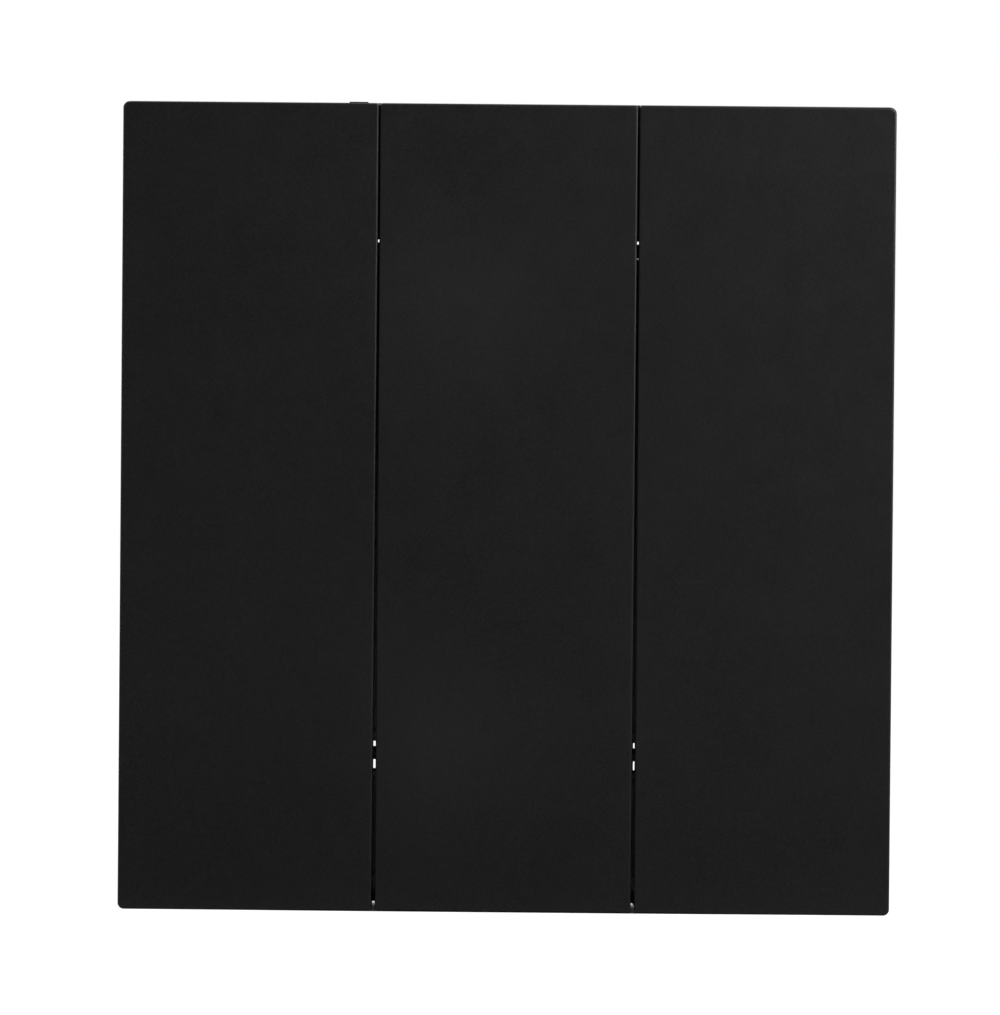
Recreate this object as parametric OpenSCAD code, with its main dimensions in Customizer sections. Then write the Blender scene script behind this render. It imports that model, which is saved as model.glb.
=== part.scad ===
// Wall plate cover with three full-height rocking keys on a clip-on frame.
// X runs across the plate, Z runs up it, and Y runs into the wall, which starts at y = 0.
// The keys' faces look along -Y. Each key turns on the hinge rod behind its upper part, and the
// stop rod behind its lower part holds it level. Pressed at the foot, it drives a sprung plunger.

/* [Plate] */
// Width over the three keys
plate_w = 86; // [80:0.5:92]
// Height of the keys
plate_h = 90; // [88:0.5:98]
// Distance from the wall to the keys' faces
plate_depth = 10; // [10:0.1:13]
// Radius of the plate's four corners
corner_r = 0.7; // [0.3:0.1:1.3]
// Radius of the keys' corners beside a gap
inner_corner_r = 0.15; // [0.1:0.05:0.4]
// Rounding around each key's face
edge_round = 0.18; // [0.05:0.01:0.4]

/* [Keys] */
// Gap between neighbouring keys
key_gap = 0.24; // [0.2:0.02:0.8]
// Thickness of a key's face
face_t = 1.6; // [1.2:0.1:2]
// Thickness of the skirts around the plate's outside
skirt_t = 1.5; // [1:0.1:1.8]
// Thickness of the short lips beside a gap
lip_t = 1.2; // [0.8:0.1:1.6]
// Angle that a key turns through when it is pressed
press_angle = 1.2; // [0.8:0.1:1.3]
// Space left between a pressed skirt and the frame's web
skirt_clearance = 0.26; // [0.15:0.01:0.5]
// Space left between a pressed lip and the bearing blocks
lip_clearance = 0.2; // [0.1:0.01:0.5]

/* [Key clips] */
// Width of a clip that holds a cap to its carrier
clip_w = 2; // [1.5:0.1:3]
// Thickness of a clip
clip_t = 0.9; // [0.7:0.1:1.1]
// Reach of a clip's barb
barb = 0.4; // [0.3:0.05:0.6]
// Depth of the barb behind the carrier
barb_t = 0.6; // [0.4:0.05:0.8]
// Distance of the clips from the key's middle line
clip_x = 7.2; // [6:0.1:7.5]
// Distance of the upper row of clips from the carrier's end
upper_clip_drop = 5; // [4:0.5:6]
// Height of the middle row of clips above the plate's centre
middle_clip_z = 3; // [-2:0.5:12]
// Distance of the lower row of clips below the stop rod
lower_clip_drop = 4; // [3.5:0.1:4.5]
// Play of a clip in its window
clip_play = 0.15; // [0.05:0.05:0.3]

/* [Carriers] */
// Thickness of a carrier
carrier_t = 1.5; // [1.2:0.1:1.6]
// Space between a carrier's ends and the frame's ring
carrier_end_gap = 3.2; // [2.8:0.1:3.6]
// Side play of a carrier in its bay
bay_play = 0.2; // [0.15:0.01:0.35]
// Thickness of the lugs
lug_t = 2.4; // [1.6:0.1:2.4]
// Wall around a hinge bore
hinge_wall = 0.8; // [0.6:0.1:1]
// Wall around a stop slot
stop_wall = 1; // [0.8:0.1:1.1]
// Width of the ribs on a carrier's back
rib_w = 1; // [0.6:0.1:1.6]
// Height of the ribs
rib_h = 0.7; // [0.3:0.1:0.75]
// Distance of the ribs from the carrier's middle line
rib_x = 3.2; // [2.6:0.1:4.4]
// Diameter of the pad that meets the plunger
pad_d = 3.2; // [2:0.1:3.4]
// Height of that pad
pad_h = 0.8; // [0.75:0.05:1]

/* [Rods] */
// Diameter of the hinge rod and the stop rod
rod_d = 1.5; // [1.2:0.1:1.8]
// Radial running clearance of the rods
rod_clearance = 0.05; // [0.02:0.01:0.1]
// Distance of the hinge rod below the keys' top ends
hinge_drop = 16.4; // [16:0.1:18]
// Distance of the stop rod above the keys' bottom ends
stop_rise = 17.4; // [17:0.1:18]
// Distance of the rods' ends inside the skirts
rod_end_gap = 0.7; // [0.3:0.1:1.2]
// Radial space around the rod in a stop slot
stop_play = 0.15; // [0.08:0.01:0.2]
// Space left at both ends of a stop slot
stop_gap = 0.07; // [0.03:0.01:0.1]
// Space between a hinge lug and the web
lug_clearance = 0.2; // [0.1:0.01:0.3]

/* [Frame] */
// Thickness of the web that closes the frame's back
web_t = 1.6; // [1.2:0.1:1.8]
// Set-in of the frame's top and side edges from the keys
frame_inset = 0.1; // [0.05:0.05:0.5]
// Set-in of the frame's bottom edge from the keys
frame_relief = 0.43; // [0.1:0.01:0.8]
// Corner radius of the frame
frame_corner_r = 0.6; // [0.3:0.1:1.2]
// Thickness of the rim that meets the wall
rim_t = 1.8; // [1.2:0.1:2.2]
// Thickness of the ring inside the skirts
ring_t = 1.6; // [1.2:0.1:1.8]
// Space between the ring and the side skirts
ring_gap_x = 0.5; // [0.3:0.1:0.8]
// Space between the ring and the top and bottom skirts
ring_gap_z = 0.7; // [0.4:0.1:1]
// Space left between a pressed cap and the ring
ring_clearance = 0.66; // [0.4:0.02:1]
// Width of the two dividers between the bays
divider_w = 5; // [4.4:0.1:5.4]
// Height of the dividers above the web
divider_rise = 2.8; // [2:0.1:3.2]
// Wall in front of a rod in its bearing block
bearing_wall = 1; // [0.7:0.1:1.2]
// Length of a bearing block along the divider
bearing_len = 5.2; // [4.4:0.1:6]
// Width of the windows that open the dividers at the rods
window_w = 1.6; // [1:0.1:2.4]
// Reach of the hinge windows above the rod's centre
hinge_window_up = 1.34; // [1:0.02:1.6]
// Reach of the hinge windows below the rod's centre
hinge_window_down = 0.91; // [0.85:0.01:1.6]
// Reach of the stop windows above the rod's centre
stop_window_up = 1.42; // [1:0.02:1.8]
// Reach of the stop windows below the rod's centre
stop_window_down = 1.96; // [1:0.02:2.1]
// Space around a stop lug where it enters the web
lug_slot_gap = 0.4; // [0.3:0.05:0.6]
// Width of the notch for a blade in the bottom edge
notch_w = 8; // [5:0.5:12]
// Depth of that notch
notch_h = 1.2; // [0.8:0.1:1.6]

/* [Stop bumpers] */
// Diameter of the bumpers and their posts
bumper_d = 4; // [3:0.1:4.4]
// Thickness of a bumper's head
bumper_t = 1.2; // [0.8:0.1:1.4]
// Diameter of a bumper's peg
bumper_peg_d = 1.6; // [1:0.1:2]
// Length of a bumper's peg
bumper_peg_len = 1.3; // [0.8:0.1:1.4]
// Radial fit and end space of the peg in its post
peg_clearance = 0.05; // [0.02:0.01:0.1]
// Distance of the bumpers' centres from the ring
bumper_set_in = 5.3; // [4.8:0.1:6]
// Distance of the bumpers from a bay's middle line
bumper_x = 8; // [7:0.1:8.5]
// Space left between a pressed carrier and its bumpers
bumper_gap = 0.03; // [0.02:0.01:0.1]

/* [Plungers] */
// Diameter of a plunger's stem
stem_d = 3; // [2.4:0.1:3.4]
// Radial running clearance of a stem in the guide plate
stem_clearance = 0.05; // [0.02:0.01:0.1]
// Diameter of a plunger's head
head_d = 6; // [5.4:0.1:6.6]
// Thickness of a plunger's head
head_t = 1; // [0.8:0.1:1.2]
// Space between a plunger's head and its pad
head_gap = 0.05; // [0.04:0.01:0.1]
// Reach of the plungers behind the wall's face
plunger_reach = 2.5; // [2:0.1:4]
// Chamfer of a plunger's tip
tip_chamfer = 0.3; // [0.1:0.05:0.6]
// Height of the plungers above the stop rod
plunger_rise = 8.5; // [8.1:0.1:11]

/* [Guide plate] */
// Thickness of the guide plate
guide_t = 1.6; // [1.2:0.1:2.4]
// Height of the guide plate
guide_h = 11.6; // [11:0.1:13]
// Margin of the guide plate outside the end cups
guide_margin = 0.2; // [0.1:0.05:0.8]
// Corner radius of the guide plate
guide_corner_r = 1.5; // [0.5:0.1:3]
// Inner diameter of the spring cups
cup_d = 5.6; // [5.2:0.1:6]
// Wall of a spring cup
cup_wall = 0.8; // [0.6:0.1:1]
// Height of a cup in front of the web's back
cup_rise = 2.4; // [1.8:0.1:2.6]
// Radial space around a cup in the web
cup_clearance = 0.3; // [0.1:0.05:0.5]
// Web left between a divider and a cup's hole
cup_margin = 0.2; // [0.1:0.05:0.6]
// Wall of the collars behind the guide plate
collar_wall = 1; // [0.6:0.1:1.2]
// Length of the collars
collar_rise = 1.2; // [0.6:0.1:1.8]

/* [Return springs] */
// Wire of the return springs
wire_d = 0.45; // [0.35:0.01:0.5]
// Turns of a spring
spring_turns = 4.5; // [3.5:0.5:5]
// Closed turns at each end of a spring
closed_turns = 1; // [0.5:0.25:1.25]
// Radial play of a spring in its cup
spring_play = 0.2; // [0.1:0.01:0.3]
// Space left at both ends of a spring
spring_end_gap = 0.03; // [0.01:0.01:0.1]

/* [Guide plate screws] */
// Shank diameter of the guide plate's screws
guide_screw_d = 1.7; // [1.4:0.1:2]
// Shank length below the head
guide_screw_len = 4.8; // [4:0.1:4.8]
// Head diameter
guide_screw_head_d = 3.4; // [3:0.1:3.8]
// Head thickness
guide_screw_head_t = 1.3; // [1:0.1:1.6]
// Distance of the screws above and below the plungers' line
guide_screw_z = 3.6; // [3.2:0.1:3.8]
// Radial clearance of a screw in the guide plate
guide_screw_clearance = 0.25; // [0.1:0.05:0.3]
// Radial space of a screw in its pilot hole
pilot_clearance = 0.05; // [0.02:0.01:0.1]
// Wall of the screw bosses
boss_wall = 1.4; // [0.8:0.1:1.6]
// Material left over the end of a pilot hole
boss_cap = 0.3; // [0.2:0.05:0.4]

/* [Mounting plate] */
// Thickness of the steel mounting plate
steel_t = 1.2; // [1:0.1:1.4]
// Width of the mounting plate
steel_w = 72; // [70:0.5:74]
// Height over the mounting plate's ears
steel_h = 77; // [76:0.1:77.4]
// Corner radius of the mounting plate
steel_corner_r = 3; // [1:0.5:4]
// Height of the mounting plate's window
steel_window_h = 63; // [60:0.5:64]
// Corner radius of the window
steel_window_r = 2; // [1:0.5:4]
// Space between the guide plate and the window's sides
window_gap = 0.4; // [0.2:0.05:0.8]
// Width of the slots for the box screws
slot_w = 4; // [3.8:0.1:4.4]
// Length of those slots
slot_len = 6; // [5:0.5:7]
// Distance of the ears from the plate's middle line
ear_x = 27; // [26:0.5:28]
// Width of an ear
ear_w = 6; // [5:0.1:6.4]
// Reach of an ear in front of the wall
ear_reach = 4.6; // [4.4:0.1:4.7]
// Inner radius of an ear's bend
bend_r = 0.3; // [0.2:0.05:0.4]
// Space around an ear in the web
ear_clearance = 0.2; // [0.1:0.05:0.3]

/* [Frame catches] */
// Width of the catch in an ear
catch_w = 3; // [2.4:0.1:3.4]
// Height of the catch along the ear
catch_h = 0.7; // [0.5:0.05:0.8]
// Space around a catch in its ear
catch_clearance = 0.1; // [0.05:0.01:0.2]
// Thickness of a catch's spring finger
finger_t = 0.9; // [0.7:0.05:1.1]
// Space between a finger and its ear
finger_gap = 0.15; // [0.1:0.01:0.25]
// Reach of a catch into its ear
catch_reach = 0.5; // [0.3:0.05:0.8]
// Distance from an ear's tip to its catch
catch_drop = 0.8; // [0.7:0.05:0.9]

/* [Box screws] */
// Distance between the two box screws
screw_pitch = 60.3; // [60:0.1:61]
// Thread diameter of the box screws
box_screw_d = 3.5; // [3:0.1:3.6]
// Length below the head
box_screw_len = 20; // [16:1:40]
// Neck diameter under the head
neck_d = 3; // [2.6:0.1:3]
// Reach of the neck behind the wall's face
neck_reach = 0.3; // [0.2:0.1:1]
// Head diameter of the box screws
box_head_d = 6.8; // [6:0.1:7]
// Head thickness of the box screws
box_head_t = 2.4; // [1.8:0.1:2.6]
// Radial space around a head in the web
head_clearance = 0.8; // [0.4:0.1:1]
// Width of a cross recess in a screw
recess_w = 0.8; // [0.5:0.1:1]

/* [Hidden] */
$fn = 48;

// Overlap of solids that are joined into one piece, and run-out of a cut past a face
bite = 0.4;
past = 1;

// Heights that the motion depends on
hinge_z = plate_h / 2 - hinge_drop;
stop_z = -plate_h / 2 + stop_rise;
plunger_z = stop_z + plunger_rise;
ring_z = plate_h / 2 - skirt_t - ring_gap_z;
ring_in_z = ring_z - ring_t;
bumper_z = -ring_in_z + bumper_set_in;

// Places along Y, from the wall forwards
web_back = -steel_t;
web_front = web_back - web_t;
rod_r = rod_d / 2;
bore_r = rod_r + rod_clearance;
hinge_lug_r = bore_r + hinge_wall;
rod_y = web_front - lug_clearance - hinge_lug_r;
front_y = -plate_depth;
face_y = front_y + face_t;
carrier_y = face_y + carrier_t;
pad_y = carrier_y + pad_h;
head_y = pad_y + head_gap;
bearing_y = rod_y - bore_r - bearing_wall;
divider_y = web_front - divider_rise;
skirt_y = web_front - travel(-plate_h / 2) - skirt_clearance;
lip_y = bearing_y - travel(stop_z - bearing_len / 2) - lip_clearance;
ring_y = face_y + travel(-plate_h / 2) + ring_clearance;
guide_back = web_back + guide_t;
cup_front = web_back - cup_rise;
collar_end = guide_back + collar_rise;
bumper_y = carrier_y + travel(bumper_z - bumper_d / 2) + bumper_gap;
post_y = bumper_y + bumper_t;
ear_y = -ear_reach;
catch_y = ear_y + catch_drop;

// Places along X
key_w = (plate_w - 2 * key_gap) / 3;
divider_x = (key_w + key_gap) / 2;
bay_in = divider_x - divider_w / 2;
bay_out = divider_x + divider_w / 2;
ring_x = plate_w / 2 - skirt_t - ring_gap_x;
ring_in_x = ring_x - ring_t;
outer_carrier_in = bay_out + bay_play;
outer_carrier_out = ring_in_x - bay_play;
middle_carrier_out = bay_in - bay_play;
cup_r = cup_d / 2 + cup_wall;
plunger_x = bay_out + cup_margin + cup_clearance + cup_r;
guide_half = plunger_x + cup_r + guide_margin;
guide_screw_x = plunger_x / 2;
steel_window_w = 2 * (guide_half + window_gap);
outer_bay_mid = (bay_out + ring_in_x) / 2;
outer_key_mid = key_w + key_gap;

// Places along Z
carrier_half = ring_in_z - carrier_end_gap;
upper_clip_z = carrier_half - upper_clip_drop;
lower_clip_z = stop_z - lower_clip_drop;
steel_edge = steel_h / 2 - steel_t - bend_r;

// Stop slots: room for the rod from a key's rest to its full press
slot_r = rod_r + stop_play;
stop_lug_r = slot_r + stop_wall;
slot_rear = rod_y + rod_r + stop_gap - slot_r;
slot_fore = rod_y - travel(stop_z) - rod_r - stop_gap + slot_r;

// Screws, posts and springs
pilot_r = guide_screw_d / 2 + pilot_clearance;
boss_r = pilot_r + boss_wall;
pilot_end = guide_back - guide_screw_len - boss_cap;
box_head_hole_r = box_head_d / 2 + head_clearance;
spring_r = cup_d / 2 - spring_play - wire_d / 2;
spring_front = head_y + head_t + spring_end_gap;
spring_back = web_back - spring_end_gap;
STEPS_PER_TURN = 18;
BEND_STEPS = 8;
WIRE_SIDES = 8;

// How far a point of a key at height z moves back in a full press
function travel(z) = (hinge_z - z) * sin(press_angle);

// A block between two corners
module block(x0, x1, y0, y1, z0, z1) {
    translate([x0, y0, z0]) cube([x1 - x0, y1 - y0, z1 - z0]);
}

// An outline drawn in X and Z, extruded from y0 to y1
module along_y(y0, y1) {
    translate([0, y1, 0]) rotate([90, 0, 0]) linear_extrude(y1 - y0) children();
}

// An outline drawn in Y and Z, extruded from x0 to x1
module along_x(x0, x1) {
    translate([x0, 0, 0]) rotate([90, 0, 90]) linear_extrude(x1 - x0) children();
}

// A round bar or hole along Y
module rod_y(x, z, y0, y1, r) {
    translate([x, y1, z]) rotate([90, 0, 0]) cylinder(r = r, h = y1 - y0);
}

// A round bar or hole along X
module rod_x(y, z, x0, x1, r) {
    translate([x0, y, z]) rotate([0, 90, 0]) cylinder(r = r, h = x1 - x0);
}

module box_2d(x0, x1, z0, z1) {
    translate([x0, z0]) square([x1 - x0, z1 - z0]);
}

// A rectangle with one corner radius at its left end and another at its right end
module round_rect(x0, x1, z0, z1, left_r, right_r) {
    box_2d(x0 + left_r, x1 - right_r, z0, z1);
    box_2d(x0, x0 + 2 * left_r, z0 + left_r, z1 - left_r);
    box_2d(x1 - 2 * right_r, x1, z0 + right_r, z1 - right_r);
    for (z = [z0 + left_r, z1 - left_r]) translate([x0 + left_r, z]) circle(left_r);
    for (z = [z0 + right_r, z1 - right_r]) translate([x1 - right_r, z]) circle(right_r);
}

// Both signs of a mirrored pair
module mirrored_x() {
    children();
    mirror([1, 0, 0]) children();
}

// Key caps -----------------------------------------------------------------------------

module key_outline(x0, x1, right_r, inset) {
    half = plate_h / 2 - inset;
    round_rect(x0 + inset, x1 - inset, -half, half, inner_corner_r, right_r);
}

// Cap between x0 and x1. An outer cap has a deep skirt on its right side, a middle one a lip.
module key_cap(x0, x1, mid, outer) {
    right_r = outer ? corner_r : inner_corner_r;
    right_t = outer ? skirt_t : lip_t;
    inner_half = plate_h / 2 - skirt_t;
    sliver = 0.01;
    difference() {
        union() {
            hull() {
                along_y(front_y, front_y + sliver)
                    key_outline(x0, x1, right_r, edge_round, $fn = 32);
                along_y(front_y + edge_round, front_y + edge_round + sliver)
                    key_outline(x0, x1, right_r, 0, $fn = 32);
            }
            along_y(front_y + edge_round, skirt_y) key_outline(x0, x1, right_r, 0);
        }
        block(x0 + lip_t, x1 - right_t, face_y, skirt_y + past, -inner_half, inner_half);
        block(x0 - past, x0 + 2 * lip_t, lip_y, skirt_y + past, -inner_half, inner_half);
        if (!outer)
            block(x1 - 2 * lip_t, x1 + past, lip_y, skirt_y + past, -inner_half, inner_half);
    }
    for (side = [-1, 1], z = [upper_clip_z, middle_clip_z, lower_clip_z])
        translate([mid + side * clip_x, 0, z]) cap_clip();
}

// Clip through a carrier's window, with its barb behind the carrier
module cap_clip() {
    barb_y = carrier_y + peg_clearance;
    block(-clip_w / 2, clip_w / 2, face_y - bite, barb_y + barb_t, 0, clip_t);
    block(-clip_w / 2, clip_w / 2, barb_y, barb_y + barb_t, clip_t / 2, clip_t + barb);
}

module outer_key_cap() {
    key_cap(divider_x + key_gap / 2, plate_w / 2, outer_key_mid, true);
}

module left_key_cap() {
    color([0.13, 0.13, 0.14]) mirror([1, 0, 0]) outer_key_cap();
}

module middle_key_cap() {
    color([0.13, 0.13, 0.14]) key_cap(-key_w / 2, key_w / 2, 0, false);
}

module right_key_cap() {
    color([0.13, 0.13, 0.14]) outer_key_cap();
}

// Key carriers -------------------------------------------------------------------------

module hinge_lug(x) {
    along_x(x, x + lug_t) {
        translate([rod_y, hinge_z]) circle(hinge_lug_r);
        box_2d(carrier_y - bite, rod_y, hinge_z - hinge_lug_r, hinge_z + hinge_lug_r);
    }
}

module stop_lug(x) {
    along_x(x, x + lug_t) {
        translate([slot_rear, stop_z]) circle(stop_lug_r);
        box_2d(carrier_y - bite, slot_rear, stop_z - stop_lug_r, stop_z + stop_lug_r);
    }
}

module stop_slot(x0, x1) {
    along_x(x0, x1) {
        translate([slot_rear, stop_z]) circle(slot_r);
        translate([slot_fore, stop_z]) circle(slot_r);
        box_2d(slot_fore, slot_rear, stop_z - slot_r, stop_z + slot_r);
    }
}

// Window that lets a cap's clip through
module clip_window() {
    block(-clip_w / 2 - clip_play, clip_w / 2 + clip_play, face_y - past, carrier_y + past,
        -clip_play, clip_t + clip_play);
}

// Carrier between x0 and x1, with its clips about mid and its plunger's pad at pad_x
module key_carrier(x0, x1, mid, pad_x) {
    rib_end = carrier_half - carrier_end_gap;
    rib_mid = (x0 + x1) / 2;
    difference() {
        union() {
            block(x0, x1, face_y, carrier_y, -carrier_half, carrier_half);
            for (x = [x0, x1 - lug_t]) {
                hinge_lug(x);
                stop_lug(x);
            }
            for (x = [rib_mid - rib_x, rib_mid + rib_x])
                block(x - rib_w / 2, x + rib_w / 2, carrier_y - bite, carrier_y + rib_h,
                    -rib_end, rib_end);
            rod_y(pad_x, plunger_z, carrier_y - bite, pad_y, pad_d / 2);
        }
        rod_x(rod_y, hinge_z, x0 - past, x1 + past, bore_r);
        stop_slot(x0 - past, x1 + past);
        for (side = [-1, 1], z = [upper_clip_z, middle_clip_z, lower_clip_z])
            translate([mid + side * clip_x, 0, z]) clip_window();
    }
}

module outer_key_carrier() {
    key_carrier(outer_carrier_in, outer_carrier_out, outer_key_mid, plunger_x);
}

module left_key_carrier() {
    color([0.22, 0.22, 0.23]) mirror([1, 0, 0]) outer_key_carrier();
}

module middle_key_carrier() {
    color([0.22, 0.22, 0.23]) key_carrier(-middle_carrier_out, middle_carrier_out, 0, 0);
}

module right_key_carrier() {
    color([0.22, 0.22, 0.23]) outer_key_carrier();
}

// Rods ---------------------------------------------------------------------------------

module cross_rod(z) {
    half = plate_w / 2 - skirt_t - rod_end_gap;
    rod_x(rod_y, z, -half, half, rod_r);
}

module hinge_rod() {
    color([0.2, 0.2, 0.21]) cross_rod(hinge_z);
}

module stop_rod() {
    color([0.2, 0.2, 0.21]) cross_rod(stop_z);
}

// Frame --------------------------------------------------------------------------------

module frame_outline(inset) {
    half_w = plate_w / 2 - frame_inset - inset;
    top = plate_h / 2 - frame_inset - inset;
    bottom = -plate_h / 2 + frame_relief + inset;
    round_rect(-half_w, half_w, bottom, top, frame_corner_r, frame_corner_r);
}

module ring_outline(inset) {
    half_w = ring_x - inset;
    half_h = ring_z - inset;
    round_rect(-half_w, half_w, -half_h, half_h, frame_corner_r, frame_corner_r);
}

module frame_shell() {
    along_y(web_front, web_back) frame_outline(0);
    difference() {
        along_y(web_back - bite, 0) frame_outline(0);
        along_y(web_back, past) frame_outline(rim_t);
    }
    difference() {
        along_y(ring_y, web_front + bite) ring_outline(0);
        along_y(ring_y - past, web_front) ring_outline(ring_t);
    }
}

// Divider behind a gap between keys, with a bearing block at each rod
module divider() {
    x0 = divider_x - divider_w / 2;
    x1 = divider_x + divider_w / 2;
    block(x0, x1, divider_y, web_front + bite, -ring_in_z - bite, ring_in_z + bite);
    for (z = [hinge_z, stop_z])
        block(x0, x1, bearing_y, web_front + bite, z - bearing_len / 2, z + bearing_len / 2);
}

// Finger whose catch holds the frame to an ear of the mounting plate
module catch_finger() {
    inner = steel_h / 2 + finger_gap;
    block(ear_x - catch_w / 2, ear_x + catch_w / 2, ear_y - bite, web_front + bite,
        inner, inner + finger_t);
    block(ear_x - catch_w / 2, ear_x + catch_w / 2, catch_y, catch_y + catch_h,
        steel_h / 2 - catch_reach, inner + bite);
}

module bumper_places() {
    for (mid = [-outer_bay_mid, 0, outer_bay_mid], side = [-1, 1])
        translate([mid + side * bumper_x, 0, bumper_z]) children();
}

module guide_screw_places() {
    for (x = [-guide_screw_x, guide_screw_x], side = [-1, 1])
        translate([x, 0, plunger_z + side * guide_screw_z]) children();
}

// Openings of one half of the frame
module frame_cuts() {
    for (x = [[middle_carrier_out - lug_t - bay_play, bay_in],
              [bay_out, outer_carrier_in + lug_t + bay_play],
              [outer_carrier_out - lug_t - bay_play, ring_in_x]])
        block(x[0], x[1], web_front - past, web_back + past,
            stop_z - stop_lug_r - lug_slot_gap, stop_z + stop_lug_r + lug_slot_gap);
    block(divider_x - window_w / 2, divider_x + window_w / 2, bearing_y - past, past,
        hinge_z - hinge_window_down, hinge_z + hinge_window_up);
    block(divider_x - window_w / 2, divider_x + window_w / 2, bearing_y - past, past,
        stop_z - stop_window_down, stop_z + stop_window_up);
    rod_y(plunger_x, plunger_z, divider_y - past, web_back + past, cup_r + cup_clearance);
    rod_y(screw_pitch / 2, 0, divider_y - past, web_back + past, box_head_hole_r);
    for (flip = [0, 1]) mirror([0, 0, flip])
        block(ear_x - ear_w / 2 - ear_clearance, ear_x + ear_w / 2 + ear_clearance,
            web_front - past, web_back + past,
            steel_edge - ear_clearance, steel_h / 2 + finger_gap);
}

module cover_frame() {
    bottom = -plate_h / 2 + frame_relief;
    color([0.09, 0.09, 0.095]) difference() {
        union() {
            difference() {
                union() {
                    frame_shell();
                    mirrored_x() divider();
                }
                mirrored_x() frame_cuts();
                rod_y(0, plunger_z, divider_y - past, web_back + past, cup_r + cup_clearance);
                block(-notch_w / 2, notch_w / 2, web_front - past, past,
                    bottom - past, bottom + notch_h);
            }
            mirrored_x() for (flip = [0, 1]) mirror([0, 0, flip]) catch_finger();
            bumper_places() rod_y(0, 0, post_y, web_front + bite, bumper_d / 2);
            guide_screw_places() rod_y(0, 0, pilot_end - boss_cap, web_front + bite, boss_r);
        }
        for (z = [hinge_z, stop_z]) rod_x(rod_y, z, -ring_x - past, ring_x + past, bore_r);
        bumper_places() rod_y(0, 0, post_y - past, post_y + bumper_peg_len + peg_clearance,
            bumper_peg_d / 2 + peg_clearance);
        guide_screw_places() rod_y(0, 0, pilot_end, web_back + past, pilot_r);
    }
}

module stop_bumpers() {
    color([0.55, 0.56, 0.57]) bumper_places() {
        rod_y(0, 0, bumper_y, post_y, bumper_d / 2);
        rod_y(0, 0, post_y - bumper_t / 2, post_y + bumper_peg_len, bumper_peg_d / 2);
    }
}

// Guide plate and plungers ---------------------------------------------------------------

module guide_plate() {
    half_h = guide_h / 2;
    color([0.1, 0.1, 0.1]) difference() {
        union() {
            along_y(web_back, guide_back)
                round_rect(-guide_half, guide_half, plunger_z - half_h, plunger_z + half_h,
                    guide_corner_r, guide_corner_r);
            for (x = [-plunger_x, 0, plunger_x]) {
                rod_y(x, plunger_z, cup_front, web_back + bite, cup_r);
                rod_y(x, plunger_z, guide_back - bite, collar_end,
                    stem_d / 2 + stem_clearance + collar_wall);
            }
        }
        for (x = [-plunger_x, 0, plunger_x]) {
            rod_y(x, plunger_z, cup_front - past, web_back, cup_d / 2);
            rod_y(x, plunger_z, web_back - past, collar_end + past, stem_d / 2 + stem_clearance);
        }
        guide_screw_places() rod_y(0, 0, web_back - past, guide_back + past,
            guide_screw_d / 2 + guide_screw_clearance);
    }
}

// Cross recess from the outer face of a screw's head; the head looks along the sign of dir
module cross_recess(head_face, depth, width, dir) {
    y0 = min(head_face + dir * past, head_face - dir * depth);
    y1 = max(head_face + dir * past, head_face - dir * depth);
    block(-width / 2, width / 2, y0, y1, -recess_w / 2, recess_w / 2);
    block(-recess_w / 2, recess_w / 2, y0, y1, -width / 2, width / 2);
}

module guide_plate_screws() {
    head_face = guide_back + guide_screw_head_t;
    color([0.72, 0.73, 0.75]) guide_screw_places() difference() {
        union() {
            rod_y(0, 0, guide_back - guide_screw_len, guide_back + bite, guide_screw_d / 2);
            rod_y(0, 0, guide_back, head_face, guide_screw_head_d / 2);
        }
        cross_recess(head_face, guide_screw_head_t / 2, guide_screw_head_d * 0.6, 1);
    }
}

module plunger(x) {
    color([0.9, 0.89, 0.85]) {
        rod_y(x, plunger_z, head_y, head_y + head_t, head_d / 2);
        rod_y(x, plunger_z, head_y + head_t / 2, plunger_reach - tip_chamfer, stem_d / 2);
        translate([x, plunger_reach, plunger_z]) rotate([90, 0, 0])
            cylinder(r1 = stem_d / 2 - tip_chamfer, r2 = stem_d / 2, h = tip_chamfer);
    }
}

module left_plunger() {
    plunger(-plunger_x);
}

module middle_plunger() {
    plunger(0);
}

module right_plunger() {
    plunger(plunger_x);
}

// Return springs: a helix with closed ends around each plunger's stem ---------------------

// Height of the wire along the spring after t turns
function coil_height(t, rise) =
    let (closed = wire_d * 1.05,
         active = (rise - 2 * closed * closed_turns) / (spring_turns - 2 * closed_turns))
    t < closed_turns ? closed * t
    : t > spring_turns - closed_turns ? rise - closed * (spring_turns - t)
    : closed * closed_turns + active * (t - closed_turns);

function coil_point(t, a, rise) =
    let (r = spring_r + wire_d / 2 * cos(a))
    [r * cos(360 * t), spring_back - wire_d / 2 - coil_height(t, rise) + wire_d / 2 * sin(a),
     r * sin(360 * t)];

module return_spring(x) {
    rise = spring_back - spring_front - wire_d;
    rings = spring_turns * STEPS_PER_TURN;
    side_step = 360 / WIRE_SIDES;
    points = [for (i = [0:rings], j = [0:WIRE_SIDES - 1])
        coil_point(i / STEPS_PER_TURN, j * side_step, rise)];
    sides = [for (i = [0:rings - 1], j = [0:WIRE_SIDES - 1])
        let (k = (j + 1) % WIRE_SIDES, a = i * WIRE_SIDES, b = a + WIRE_SIDES)
        [a + j, b + j, b + k, a + k]];
    start = [[for (j = [0:WIRE_SIDES - 1]) j]];
    end = [[for (j = [WIRE_SIDES - 1:-1:0]) rings * WIRE_SIDES + j]];
    color([0.78, 0.78, 0.8]) translate([x, 0, plunger_z])
        polyhedron(points = points, faces = concat(sides, start, end));
}

module left_return_spring() {
    return_spring(-plunger_x);
}

module middle_return_spring() {
    return_spring(0);
}

module right_return_spring() {
    return_spring(plunger_x);
}

// Mounting plate and box screws ------------------------------------------------------------

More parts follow.
